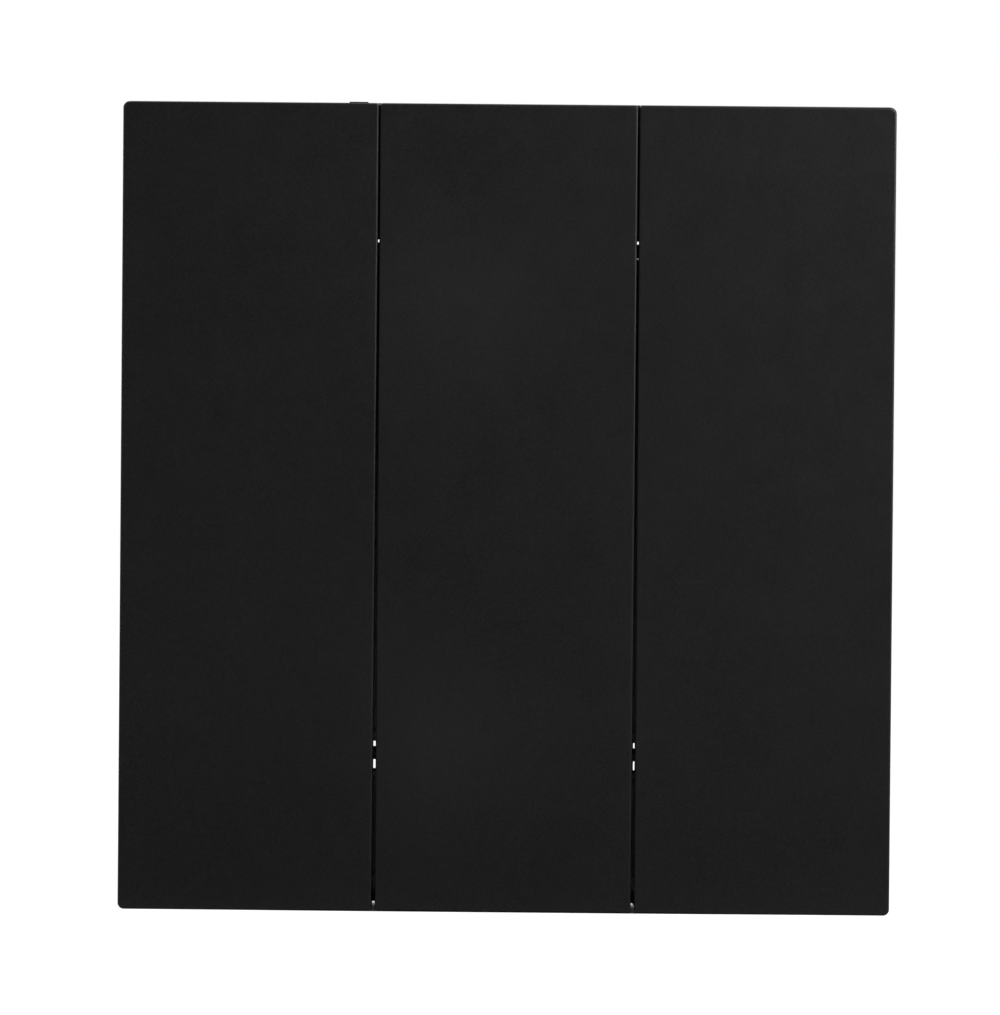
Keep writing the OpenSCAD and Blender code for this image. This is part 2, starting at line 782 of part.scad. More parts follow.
// Upper ear, bent forwards from the plate's edge, with a window for the frame's catch
module ear() {
    outer_r = steel_t + bend_r;
    arc = [for (a = [0:90 / BEND_STEPS:90]) [cos(a), sin(a)]];
    profile = concat(
        [[-steel_t, steel_edge - bite], [0, steel_edge - bite]],
        [for (p = arc) [-outer_r + outer_r * p[0], steel_edge + outer_r * p[1]]],
        [[ear_y, steel_h / 2], [ear_y, steel_h / 2 - steel_t]],
        [for (i = [BEND_STEPS:-1:0])
            [-outer_r + bend_r * arc[i][0], steel_edge + bend_r * arc[i][1]]]
    );
    difference() {
        along_x(ear_x - ear_w / 2, ear_x + ear_w / 2) polygon(profile);
        block(ear_x - catch_w / 2 - 2 * catch_clearance, ear_x + catch_w / 2 + 2 * catch_clearance,
            catch_y - catch_clearance, catch_y + catch_h + catch_clearance,
            steel_edge, steel_h / 2 + past);
    }
}

module box_screw_slot() {
    straight = (slot_len - slot_w) / 2;
    along_y(-steel_t - past, past) translate([screw_pitch / 2, 0]) {
        for (z = [-straight, straight]) translate([0, z]) circle(slot_w / 2);
        box_2d(-slot_w / 2, slot_w / 2, -straight, straight);
    }
}

module mounting_plate() {
    half_window = steel_window_w / 2;
    color([0.66, 0.67, 0.68]) {
        difference() {
            along_y(-steel_t, 0) round_rect(-steel_w / 2, steel_w / 2, -steel_edge, steel_edge,
                steel_corner_r, steel_corner_r);
            along_y(-steel_t - past, past)
                round_rect(-half_window, half_window, -steel_window_h / 2, steel_window_h / 2,
                    steel_window_r, steel_window_r);
            mirrored_x() box_screw_slot();
        }
        mirrored_x() for (flip = [0, 1]) mirror([0, 0, flip]) ear();
    }
}

module box_screw() {
    head_face = -steel_t - box_head_t;
    difference() {
        union() {
            rod_y(0, 0, -steel_t - box_head_t / 2, -steel_t, box_head_d / 2);
            translate([0, -steel_t - box_head_t / 2, 0]) rotate([90, 0, 0])
                cylinder(r1 = box_head_d / 2, r2 = box_head_d * 0.36, h = box_head_t / 2);
            rod_y(0, 0, -steel_t - bite, neck_reach, neck_d / 2);
            rod_y(0, 0, neck_reach, box_screw_len - steel_t - past, box_screw_d / 2);
            translate([0, box_screw_len - steel_t, 0]) rotate([90, 0, 0])
                cylinder(r1 = box_screw_d / 4, r2 = box_screw_d / 2, h = past);
        }
        cross_recess(head_face, box_head_t / 2, box_head_d * 0.6, -1);
    }
}

module box_screws() {
    color([0.74, 0.75, 0.76]) for (x = [-screw_pitch / 2, screw_pitch / 2])
        translate([x, 0, 0]) box_screw();
}

cover_frame();
guide_plate();
guide_plate_screws();
mounting_plate();
box_screws();
hinge_rod();
stop_rod();
stop_bumpers();
left_key_cap();
middle_key_cap();
right_key_cap();
left_key_carrier();
middle_key_carrier();
right_key_carrier();
left_plunger();
middle_plunger();
right_plunger();
left_return_spring();
middle_return_spring();
right_return_spring();
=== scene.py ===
"""Looks of a wall plate cover with three rocking keys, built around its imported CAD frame.

Every length is in metres, in the frame's own axes: X runs across the plate, Y runs into the
wall, which starts at y = 0, and Z runs up it. The keys' faces look along -Y.
"""

import logging
import math
from contextlib import contextmanager
from dataclasses import dataclass
from enum import Enum
from typing import Callable, Iterator, Sequence

import bmesh
import bpy
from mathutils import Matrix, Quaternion, Vector


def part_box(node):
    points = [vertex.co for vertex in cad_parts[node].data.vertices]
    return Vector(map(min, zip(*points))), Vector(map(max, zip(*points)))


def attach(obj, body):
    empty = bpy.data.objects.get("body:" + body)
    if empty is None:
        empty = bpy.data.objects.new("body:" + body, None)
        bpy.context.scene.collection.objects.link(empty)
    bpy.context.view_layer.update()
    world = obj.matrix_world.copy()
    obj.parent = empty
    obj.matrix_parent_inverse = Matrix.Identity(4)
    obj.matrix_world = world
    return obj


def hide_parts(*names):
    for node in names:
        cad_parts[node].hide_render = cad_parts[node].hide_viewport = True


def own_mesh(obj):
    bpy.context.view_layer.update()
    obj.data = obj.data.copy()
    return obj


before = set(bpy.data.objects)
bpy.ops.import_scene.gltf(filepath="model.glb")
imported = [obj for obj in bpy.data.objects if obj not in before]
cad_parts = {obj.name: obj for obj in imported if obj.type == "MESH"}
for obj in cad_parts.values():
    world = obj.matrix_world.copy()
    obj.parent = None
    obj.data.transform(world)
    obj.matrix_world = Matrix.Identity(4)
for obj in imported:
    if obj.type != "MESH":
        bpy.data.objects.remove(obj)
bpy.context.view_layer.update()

LOG = logging.getLogger("wall_plate_cover")
MM = 0.001

Solid = bpy.types.Object
Socket = bpy.types.NodeSocket
Span = tuple[float, float]
Point = tuple[float, float, float]
Colour = tuple[float, float, float, float]
EdgeTest = Callable[[Vector, Vector], bool]


def even(size: float) -> Point:
    """The same length along all three axes."""
    return (size, size, size)


class Joinery(Enum):
    """How one shape is combined with another."""

    CUT = "DIFFERENCE"
    WELD = "UNION"
    TRIM = "INTERSECT"


class KeyPlace(Enum):
    """The three keys, from left to right."""

    LEFT = "left"
    MIDDLE = "middle"
    RIGHT = "right"


class Bench:
    """Modelling steps that all the sub-assemblies share."""

    NEAR = 0.002 * MM
    MERGE = 0.0005 * MM
    FLAT = math.radians(0.5)
    SHARP = math.radians(35)

    @staticmethod
    def level(length: float, *others: float) -> bool:
        """Whether some lengths are all the same."""
        return all(abs(length - other) < Bench.NEAR for other in others)

    @staticmethod
    def clear() -> None:
        """Leave edit mode and deselect everything."""
        active = bpy.context.view_layer.objects.active
        if active and active.mode != "OBJECT":
            bpy.ops.object.mode_set(mode="OBJECT")
        bpy.ops.object.select_all(action="DESELECT")

    @staticmethod
    def pick(*pieces: Solid) -> None:
        """Select only these pieces.

        Args:
            pieces: The pieces. The first one becomes active.
        """
        Bench.clear()
        for piece in pieces:
            piece.select_set(True)
        bpy.context.view_layer.objects.active = pieces[0]

    @staticmethod
    def settle(name: str) -> Solid:
        """Name the active object and put its place, turn and scale into its mesh.

        Args:
            name: Its new name.

        Returns:
            The object.
        """
        piece = bpy.context.view_layer.objects.active
        piece.name = piece.data.name = name
        bpy.ops.object.transform_apply(location=True, rotation=True, scale=True)
        return piece

    @staticmethod
    def block(name: str, low: Sequence[float], high: Sequence[float]) -> Solid:
        """Add a block between two corners.

        Args:
            name: Name of the new piece.
            low: Its lowest corner.
            high: Its highest corner.

        Returns:
            The new piece.
        """
        low, high = Vector(low), Vector(high)
        Bench.clear()
        bpy.ops.mesh.primitive_cube_add(size=1, location=(low + high) / 2, scale=high - low)
        return Bench.settle(name)

    @staticmethod
    def peg(
        name: str, x: float, z: float, y0: float, y1: float, r: float, sides: int = 48
    ) -> Solid:
        """Add a round bar along Y.

        Args:
            name: Name of the new piece.
            x: Place of its axis across the plate.
            z: Height of its axis.
            y0: Its front end.
            y1: Its rear end.
            r: Its radius.
            sides: Facets around it.

        Returns:
            The new piece.
        """
        Bench.clear()
        bpy.ops.mesh.primitive_cylinder_add(
            vertices=sides,
            radius=r,
            depth=y1 - y0,
            location=(x, (y0 + y1) / 2, z),
            rotation=(math.pi / 2, 0, 0),
        )
        return Bench.settle(name)

    @staticmethod
    @contextmanager
    def editing(piece: Solid, mode: str = "EDGE") -> Iterator[None]:
        """Open a piece in edit mode with nothing selected, and close it afterwards.

        Args:
            piece: The piece to edit.
            mode: Kind of element that is selected, VERT, EDGE or FACE.

        Returns:
            A context in which the piece is open.
        """
        Bench.pick(piece)
        bpy.ops.object.mode_set(mode="EDIT")
        bpy.ops.mesh.select_mode(type=mode)
        bpy.ops.mesh.select_all(action="DESELECT")
        yield
        bpy.ops.object.mode_set(mode="OBJECT")

    @staticmethod
    def choose_edges(piece: Solid, test: EdgeTest) -> int:
        """Select the edges of an open piece whose two ends pass a test.

        Args:
            piece: A piece in edit mode.
            test: Takes the two ends of an edge.

        Returns:
            How many edges were selected.
        """
        mesh = bmesh.from_edit_mesh(piece.data)
        found = [edge for edge in mesh.edges if test(edge.verts[0].co, edge.verts[1].co)]
        for edge in found:
            edge.select_set(True)
        bmesh.update_edit_mesh(piece.data)
        return len(found)

    @staticmethod
    def round_edges(piece: Solid, width: float, steps: int, test: EdgeTest) -> None:
        """Round or chamfer the edges that pass a test.

        Args:
            piece: The piece to shape.
            width: Set-back of the rounding from the edge.
            steps: Facets of the rounding, 1 for a chamfer.
            test: Takes the two ends of an edge.
        """
        with Bench.editing(piece):
            if Bench.choose_edges(piece, test):
                bpy.ops.mesh.bevel(offset=width, segments=steps, affect="EDGES")

    @staticmethod
    def modify(piece: Solid, kind: str, **settings: object) -> None:
        """Add a modifier and apply it.

        Args:
            piece: The piece to shape.
            kind: The modifier's type.
            settings: Its settings.
        """
        Bench.pick(piece)
        modifier = piece.modifiers.new(kind.title(), kind)
        for key, value in settings.items():
            setattr(modifier, key, value)
        bpy.ops.object.modifier_apply(modifier=modifier.name)

    @staticmethod
    def combine(piece: Solid, how: Joinery, *tools: Solid) -> None:
        """Cut tools out of a piece, weld them on, or trim to them.

        Args:
            piece: The piece to shape.
            how: What is done to it.
            tools: The other shapes, clear of each other. They are used up.
        """
        tool = Bench.join(tools, "tool") if len(tools) > 1 else tools[0]
        Bench.modify(piece, "BOOLEAN", object=tool, operation=how.value, solver="EXACT")
        bpy.data.objects.remove(tool)

    @staticmethod
    def join(pieces: Sequence[Solid], name: str) -> Solid:
        """Make one piece of several that don't touch.

        Args:
            pieces: The pieces. They are used up.
            name: Name of the joined piece.

        Returns:
            The joined piece.
        """
        Bench.pick(*pieces)
        bpy.ops.object.join()
        return Bench.settle(name)

    @staticmethod
    def copy(piece: Solid, name: str, shift: Point = (0, 0, 0)) -> Solid:
        """Copy a piece with its own mesh.

        Args:
            piece: The piece to copy.
            name: Name of the copy.
            shift: How far the copy moves.

        Returns:
            The copy.
        """
        Bench.pick(piece)
        bpy.ops.object.duplicate(linked=False)
        bpy.context.view_layer.objects.active.location = shift
        return Bench.settle(name)

    @staticmethod
    def mirrored(piece: Solid, name: str) -> Solid:
        """Copy a piece to the other side of the plate, with its faces turned the right way.

        Args:
            piece: The piece to copy.
            name: Name of the copy.

        Returns:
            The copy.
        """
        Bench.pick(piece)
        bpy.ops.object.duplicate(linked=False)
        bpy.context.view_layer.objects.active.scale = (-1, 1, 1)
        twin = Bench.settle(name)
        Bench.tidy(twin)
        return twin

    @staticmethod
    def merge() -> None:
        """Select all of the open piece and merge its doubled points."""
        bpy.ops.mesh.select_all(action="SELECT")
        bpy.ops.mesh.remove_doubles(threshold=Bench.MERGE)

    @staticmethod
    def tidy(piece: Solid) -> None:
        """Merge a piece's doubled points and turn all its faces outwards.

        Args:
            piece: The piece to tidy.
        """
        with Bench.editing(piece, "VERT"):
            Bench.merge()
            bpy.ops.mesh.normals_make_consistent(inside=False)

    @staticmethod
    def from_node(node: str, name: str) -> Solid:
        """Copy a CAD node's mesh into a new piece and merge its loose triangles.

        Args:
            node: The CAD node.
            name: Name of the new piece.

        Returns:
            The new piece.
        """
        piece = bpy.data.objects.new(name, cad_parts[node].data.copy())
        bpy.context.scene.collection.objects.link(piece)
        with Bench.editing(piece, "VERT"):
            bpy.ops.mesh.customdata_custom_splitnormals_clear()
            Bench.merge()
        return piece

    @staticmethod
    def flatten(piece: Solid) -> None:
        """Merge a piece's doubled points and make each flat face whole.

        Args:
            piece: The piece to tidy.
        """
        with Bench.editing(piece, "VERT"):
            Bench.merge()
            bpy.ops.mesh.dissolve_limited(angle_limit=Bench.FLAT)

    @staticmethod
    def soften(piece: Solid, width: float, steps: int = 2) -> None:
        """Break all sharp edges of a piece by a small rounding.

        Args:
            piece: The piece to shape.
            width: Width of the rounding.
            steps: Its facets.
        """
        Bench.flatten(piece)
        Bench.modify(
            piece,
            "BEVEL",
            width=width,
            segments=steps,
            limit_method="ANGLE",
            angle_limit=Bench.SHARP,
            use_clamp_overlap=False,
            miter_outer="MITER_SHARP",
        )
        with Bench.editing(piece, "VERT"):
            bpy.ops.mesh.select_all(action="SELECT")
            bpy.ops.mesh.dissolve_degenerate(threshold=Bench.MERGE)

    @staticmethod
    def shade(piece: Solid, angle: float = 40) -> None:
        """Shade roundings smoothly and keep flat faces flat.

        Args:
            piece: The piece to shade.
            angle: Largest angle in degrees that is still smoothed.
        """
        Bench.pick(piece)
        bpy.ops.object.shade_smooth_by_angle(angle=math.radians(angle))
        Bench.modify(piece, "WEIGHTED_NORMAL", keep_sharp=True, weight=100)

    @staticmethod
    def strand(name: str, points: Sequence[Vector]) -> Solid:
        """Draw a line of edges from point to point.

        Args:
            name: Name of the new piece.
            points: The points, in order.

        Returns:
            A piece of edges only.
        """
        Bench.clear()
        bpy.ops.mesh.primitive_plane_add(size=MM, location=(0, 0, 0))
        piece = Bench.settle(name)
        with Bench.editing(piece, "VERT"):
            bpy.ops.mesh.select_all(action="SELECT")
            bpy.ops.mesh.merge(type="CENTER")
            bpy.ops.transform.translate(value=points[0])
            for start, end in zip(points, points[1:]):
                bpy.ops.mesh.extrude_vertices_move(TRANSFORM_OT_translate={"value": end - start})
        return piece

    @staticmethod
    def turned(name: str, profile: Sequence[Span], axis: str = "Y", sides: int = 48) -> Solid:
        """Turn a profile about an axis through the origin, as on a lathe.

        Args:
            name: Name of the new piece.
            profile: Places along the axis with the radius there, from one end to the other.
            axis: The axis, X or Y.
            sides: Facets around it.

        Returns:
            The new piece, closed at both ends.
        """
        along = Vector((1, 0, 0)) if axis == "X" else Vector((0, 1, 0))
        piece = Bench.strand(
            name, [along * place + Vector((0, 0, radius)) for place, radius in profile]
        )
        with Bench.editing(piece, "VERT"):
            bpy.ops.mesh.select_all(action="SELECT")
            bpy.ops.mesh.spin(
                steps=sides, angle=2 * math.pi, center=(0, 0, 0), axis=along, use_auto_merge=True
            )
        Bench.tidy(piece)
        return piece

    @staticmethod
    def outline(name: str, points: Sequence[Span]) -> Solid:
        """Draw a closed outline of places along Y and radii along Z.

        Args:
            name: Name of the new piece.
            points: Its corners, in order.

        Returns:
            A piece of edges only.
        """
        places = [Vector((0, along, radius)) for along, radius in points]
        piece = Bench.strand(name, places + places[:1])
        with Bench.editing(piece, "VERT"):
            Bench.merge()
        return piece

    @staticmethod
    def arc(centre: Span, r: float, start: float, end: float, steps: int) -> list[Span]:
        """A rounding in a turned profile, by degrees: 0 is along the axis, 90 outwards."""
        angles = [math.radians(start + (end - start) * i / steps) for i in range(steps + 1)]
        return [(centre[0] + r * math.cos(a), centre[1] + r * math.sin(a)) for a in angles]


class Nodes:
    """A node tree, with the nodes that the finishes and the surround share."""

    def __init__(self, tree: bpy.types.NodeTree) -> None:
        """Start with an empty tree."""
        self.tree = tree
        self.tree.nodes.clear()

    def add(self, kind: str, **settings: object) -> bpy.types.Node:
        """Add a node.

        Args:
            kind: The node's type.
            settings: Its settings.

        Returns:
            The node.
        """
        node = self.tree.nodes.new(kind)
        for key, value in settings.items():
            setattr(node, key, value)
        return node

    def link(self, start: Socket, end: Socket) -> None:
        """Connect two sockets."""
        self.tree.links.new(start, end)

    def feed(self, source: Socket | float | Colour, end: Socket) -> None:
        """Connect an input to a socket, or set it to a plain value.

        Args:
            source: The socket or the value.
            end: The input.
        """
        if isinstance(source, Socket):
            self.link(source, end)
        else:
            end.default_value = source

    def gradient(self, place: Socket, kind: str) -> Socket:
        """Lay a gradient.

        Args:
            place: The mapped coordinates that it runs over.
            kind: Its kind.

        Returns:
            The gradient's value.
        """
        node = self.add("ShaderNodeTexGradient", gradient_type=kind)
        self.link(place, node.inputs["Vector"])
        return node.outputs["Fac"]

    def calculate(self, operation: str, first: Socket, second: Socket | float) -> Socket:
        """Calculate with two values.

        Args:
            operation: What is done with them.
            first: The first value.
            second: The second value, or a number.

        Returns:
            The result.
        """
        node = self.add("ShaderNodeMath", operation=operation)
        self.link(first, node.inputs[0])
        self.feed(second, node.inputs[1])
        return node.outputs[0]

    def times(self, first: Socket, second: Socket | float) -> Socket:
        """Multiply a value by another or by a number."""
        return self.calculate("MULTIPLY", first, second)

    def larger(self, first: Socket, second: Socket) -> Socket:
        """The larger one of two values."""
        return self.calculate("MAXIMUM", first, second)

    def mix(self, share: Socket, first: Socket | float, second: Socket | float) -> Socket:
        """Mix two values.

        Args:
            share: The second one's share.
            first: The first value.
            second: The second value.

        Returns:
            The mixed value.
        """
        node = self.add("ShaderNodeMix")
        self.link(share, node.inputs["Factor"])
        self.feed(first, node.inputs["A"])
        self.feed(second, node.inputs["B"])
        return node.outputs["Result"]

    def fit(self, value: Socket, old: Span, new: Span) -> Socket:
        """Stretch a value from one range to another, clamped, with soft ends.

        Args:
            value: The value.
            old: The range that it comes from.
            new: The range that it goes to.

        Returns:
            The stretched value.
        """
        node = self.add("ShaderNodeMapRange", interpolation_type="SMOOTHSTEP")
        for name, number in zip(("From Min", "From Max", "To Min", "To Max"), (*old, *new)):
            node.inputs[name].default_value = number
        self.link(value, node.inputs["Value"])
        return node.outputs["Result"]


class Board(Nodes):
    """A material's nodes around its one shader."""

    def __init__(self, name: str, kind: str = "ShaderNodeBsdfPrincipled") -> None:
        """Start a material of one shader.

        Args:
            name: The material's name.
            kind: The shader.
        """
        self.material = bpy.data.materials.new(name)
        self.material.use_nodes = True
        super().__init__(self.material.node_tree)
        self.shader = self.add(kind)
        self.output = self.add("ShaderNodeOutputMaterial")
        self.link(self.shader.outputs["BSDF"], self.output.inputs["Surface"])
        self.place = self.add("ShaderNodeTexCoord").outputs["Object"]

    def mapped(
        self, scale: Point = (1, 1, 1), centre: Point = (0, 0, 0), turn: float = 0
    ) -> Socket:
        """Object coordinates about a centre.

        Args:
            scale: Size of one unit of the pattern along each of its axes.
            centre: Where the pattern's own centre lies.
            turn: How far in degrees the pattern is turned about Z.

        Returns:
            The mapped vector.
        """
        node = self.add("ShaderNodeMapping", vector_type="TEXTURE")
        node.inputs["Location"].default_value = centre
        node.inputs["Rotation"].default_value = (0, 0, math.radians(turn))
        node.inputs["Scale"].default_value = scale
        self.link(self.place, node.inputs["Vector"])
        return node.outputs["Vector"]

    def noise(self, size: Point, detail: float = 3, roughness: float = 0.5) -> Socket:
        """Lay noise.

        Args:
            size: Size of its blotches along each axis.
            detail: How many finer layers it has.
            roughness: How strong the finer layers are.

        Returns:
            The noise's value.
        """
        node = self.add("ShaderNodeTexNoise")
        node.inputs["Scale"].default_value = 1
        node.inputs["Detail"].default_value = detail
        node.inputs["Roughness"].default_value = roughness
        self.link(self.mapped(size), node.inputs["Vector"])
        return node.outputs["Fac"]

    def cells(self, size: float) -> Socket:
        """Lay cells, each of its own random tone.

        Args:
            size: Size of a cell.

        Returns:
            The cells' tone.
        """
        node = self.add("ShaderNodeTexVoronoi")
        node.inputs["Scale"].default_value = 1
        self.link(self.mapped(even(size)), node.inputs["Vector"])
        tone = self.add("ShaderNodeSeparateColor")
        self.link(node.outputs["Color"], tone.inputs["Color"])
        return tone.outputs["Red"]

    def patch(self, centre: Point, reach: Point) -> Socket:
        """A soft round patch, 1 at its centre and 0 outside its reach."""
        return self.gradient(self.mapped(reach, centre), "QUADRATIC_SPHERE")

    def blend(self, share: Socket, first: Socket | Colour, second: Socket | Colour) -> Socket:
        """Mix two colours.

        Args:
            share: The second one's share.
            first: The first colour.
            second: The second colour.

        Returns:
            The mixed colour.
        """
        node = self.add("ShaderNodeMix", data_type="RGBA")
        self.link(share, node.inputs["Factor"])
        for name, colour in (("A", first), ("B", second)):
            self.feed(colour, next(s for s in node.inputs if s.name == name and s.type == "RGBA"))
        return next(s for s in node.outputs if s.type == "RGBA")

    def bump(self, height: Socket, depth: float) -> Socket:
        """Lay relief.

        Args:
            height: The relief's height, from 0 to 1.
            depth: Its depth in metres.

        Returns:
            The normal.
        """
        node = self.add("ShaderNodeBump")
        node.inputs["Strength"].default_value = 1
        node.inputs["Distance"].default_value = depth
        self.link(height, node.inputs["Height"])
        return node.outputs["Normal"]

    def finish(self, colour: Socket, roughness: Socket, normal: Socket) -> bpy.types.Material:
        """Connect the shader.

        Args:
            colour: Its colour.
            roughness: Its roughness.
            normal: Its normal.

        Returns:
            The finished material.
        """
        self.link(colour, self.shader.inputs["Base Color"])
        self.link(roughness, self.shader.inputs["Roughness"])
        self.link(normal, self.shader.inputs["Normal"])
        return self.material


@dataclass(frozen=True)
class Patch:
    """A soft area painted a little lighter, as painted light: painted shading and painted sheen
    on the caps, and painted light behind the key gaps.

    It takes on its share of the lighter tone in its core, and none of it at its reach.
    """

    centre: Point
    reach: Point
    share: float
    core: float = 0.9
    tone: Colour | None = None


@dataclass(frozen=True)
class MouldedPlastic:
    """Moulded plastic with a spark-eroded grain, slow drifts of tone, a few specks and any soft
    patches of painted light.
    """

    name: str
    tone: Colour
    light_tone: Colour
    fleck_and_painted_light: Colour
    slot: str
    roughness: Span = (0.45, 0.6)
    specular: float = 0.5
    subsurface: float = 0.0
    grain: float = 0.16 * MM
    depth: float = 0.002 * MM
    fleck_share: float = 0.02
    mottle: float = 0.04
    patches: tuple[Patch, ...] = ()
    drift: float = 14 * MM
    speck: float = 0.45 * MM
    sheen: float = 3 * MM
    glow_reach: float = 0.6 * MM
    glow_tone: Point = (1.0, 0.9, 0.8)

    def material(self) -> bpy.types.Material:
        """Build the finish.

        Returns:
            Its material.
        """
        board = Board(self.name)
        board.shader.inputs["Specular IOR Level"].default_value = self.specular
        if self.subsurface:
            board.shader.inputs["Subsurface Weight"].default_value = self.subsurface
            board.shader.inputs["Subsurface Radius"].default_value = self.glow_tone
            board.shader.inputs["Subsurface Scale"].default_value = self.glow_reach
        grain = board.noise(even(self.grain), 2, 0.6)
        drift = board.noise(even(self.drift), 4, 0.55)
        colour = board.blend(board.fit(drift, (0.3, 0.7), (0, 1)), self.tone, self.light_tone)
        colour = board.blend(board.fit(grain, (0.4, 0.6), (0, self.mottle)), colour, self.fleck_and_painted_light)
        # Patches of painted light. A patch without a tone of its own takes the fleck colour, as
        # the caps' painted shading and sheen do.
        for patch in self.patches:
            spot = board.patch(patch.centre, patch.reach)
            spot = board.fit(spot, (0, patch.core), (0, patch.share))
            colour = board.blend(spot, colour, patch.tone or self.fleck_and_painted_light)
        dust_and_gap_light = board.noise(even(self.speck), 1, 0.4)
        rare = board.fit(dust_and_gap_light, (1 - self.fleck_share * 8, 1), (0, 1))
        colour = board.blend(rare, colour, self.fleck_and_painted_light)
        rough = board.fit(board.noise(even(self.sheen), 5, 0.6), (0.25, 0.75), self.roughness)
        return board.finish(colour, rough, board.bump(grain, self.depth))


@dataclass(frozen=True)
class SheetZinc:
    """Galvanised sheet with a faint spangle and a rolled grain along the plate's height."""

    name: str
    tone: Colour
    dull_tone: Colour
    slot: str
    roughness: Span = (0.34, 0.46)
    spangle: float = 1.6 * MM
    rolled: Point = (0.12 * MM, 0.12 * MM, 9 * MM)
    stain: float = 7 * MM
    depth: float = 0.0015 * MM

    def material(self) -> bpy.types.Material:
        """Build the finish.

        Returns:
            Its material.
        """
        board = Board(self.name)
        board.shader.inputs["Metallic"].default_value = 1
        spangle = board.cells(self.spangle)
        rolled = board.noise(self.rolled, 3, 0.6)
        stain = board.noise(even(self.stain), 5, 0.6)
        colour = board.blend(board.fit(spangle, (0, 1), (0, 0.3)), self.tone, self.dull_tone)
        colour = board.blend(board.fit(stain, (0.45, 0.75), (0, 0.5)), colour, self.dull_tone)
        rough = board.fit(spangle, (0, 1), self.roughness)
        return board.finish(colour, rough, board.bump(rolled, self.depth))


@dataclass(frozen=True)
class PlatedSteel:
    """Plated or blackened steel with fine drawing marks along one axis and slight tarnish."""

    name: str
    tone: Colour
    tarnish: Colour
    slot: str
    roughness: Span = (0.22, 0.4)
    streak: Point = (0.05 * MM, 2 * MM, 0.05 * MM)
    cloud: float = 1.5 * MM
    depth: float = 0.001 * MM

    def material(self) -> bpy.types.Material:
        """Build the finish.

        Returns:
            Its material.
        """
        board = Board(self.name)
        board.shader.inputs["Metallic"].default_value = 1
        marks = board.noise(self.streak, 3, 0.6)
        cloud = board.noise(even(self.cloud), 5, 0.6)
        colour = board.blend(board.fit(cloud, (0.4, 0.75), (0, 0.7)), self.tone, self.tarnish)
        rough = board.fit(marks, (0.2, 0.8), self.roughness)
        return board.finish(colour, rough, board.bump(marks, self.depth))


CAP_PLASTIC = MouldedPlastic(
    "matt_black_cap",
    tone=(0.0034, 0.0036, 0.0039, 1),
    light_tone=(0.0046, 0.0048, 0.0051, 1),
    fleck_and_painted_light=(0.040, 0.0405, 0.0425, 1),
    slot="cap",
    roughness=(0.37, 0.45),
    specular=0.3,
    mottle=0.14,
    # Painted light on the caps. The first patch is painted shading: a lighter tone that thins
    # out, so the faces grow darker towards the bottom. The other two are painted sheen, upper
    # middle and lower middle.
    patches=(
        Patch((0, -10 * MM, 10 * MM), (200 * MM, 200 * MM, 62 * MM), 0.065, 0.25),
        Patch((-5.4 * MM, -10 * MM, 22 * MM), even(26 * MM), 0.14),
        Patch((-7.6 * MM, -10 * MM, -27 * MM), even(22 * MM), 0.14),
    ),
)
GAP_X = 14.3733 * MM
# Light grey for painted light on the frame right behind the key gaps.
GAP_PAINTED_LIGHT: Colour = (0.44, 0.43, 0.41, 1)
FRAME_PLASTIC = MouldedPlastic(
    "black_frame",
    tone=(0.010, 0.010, 0.0105, 1),
    light_tone=(0.0135, 0.0135, 0.014, 1),
    fleck_and_painted_light=(0.05, 0.05, 0.05, 1),
    slot="frame",
    roughness=(0.4, 0.55),
    # Painted light: thin strips of light grey on the frame's faces right behind each key gap, so
    # the gaps look lit inside. The right gap gets 0.65 of it.
    patches=tuple(
        Patch((x, y, z), (1.2 * MM, 0.08 * MM, reach), share * dust_and_gap_light, 0.9, GAP_PAINTED_LIGHT)
        for x, dust_and_gap_light in ((-GAP_X, 1.0), (GAP_X, 0.65))
        for y, z, reach, share in (
            (-5.6 * MM, -20 * MM, 75 * MM, 1.0),
            (-6.4 * MM, -28 * MM, 40 * MM, 1.0),
            (-6.2 * MM, -42 * MM, 6 * MM, 1.0),
            (-2.8 * MM, -43.6 * MM, 6 * MM, 0.5),
        )
    ),
)
CARRIER_PLASTIC = MouldedPlastic(
    "dark_grey_carrier",
    tone=(0.030, 0.031, 0.033, 1),
    light_tone=(0.038, 0.039, 0.041, 1),
    fleck_and_painted_light=(0.09, 0.09, 0.09, 1),
    slot="carrier",
    roughness=(0.45, 0.62),
)
GUIDE_PLASTIC = MouldedPlastic(
    "black_guide",
    tone=(0.013, 0.013, 0.014, 1),
    light_tone=(0.017, 0.017, 0.018, 1),
    fleck_and_painted_light=(0.05, 0.05, 0.05, 1),
    slot="guide",
    roughness=(0.36, 0.5),
)
ACETAL = MouldedPlastic(
    "natural_acetal",
    tone=(0.80, 0.785, 0.73, 1),
    light_tone=(0.86, 0.85, 0.80, 1),
    fleck_and_painted_light=(0.66, 0.64, 0.58, 1),
    slot="plunger",
    roughness=(0.3, 0.42),
    subsurface=0.35,
    grain=0.3 * MM,
    depth=0.001 * MM,
)
SILICONE = MouldedPlastic(
    "grey_silicone",
    tone=(0.26, 0.27, 0.28, 1),
    light_tone=(0.32, 0.33, 0.34, 1),
    fleck_and_painted_light=(0.45, 0.45, 0.45, 1),
    slot="bumper",
    roughness=(0.5, 0.68),
    subsurface=0.3,
)
ZINC_SHEET = SheetZinc(
    "galvanised_sheet",
    tone=(0.55, 0.56, 0.575, 1),
    dull_tone=(0.41, 0.42, 0.44, 1),
    slot="steel",
)
BRIGHT_ZINC = PlatedSteel(
    "bright_zinc",
    tone=(0.56, 0.565, 0.575, 1),
    tarnish=(0.40, 0.40, 0.39, 1),
    slot="screw",
)
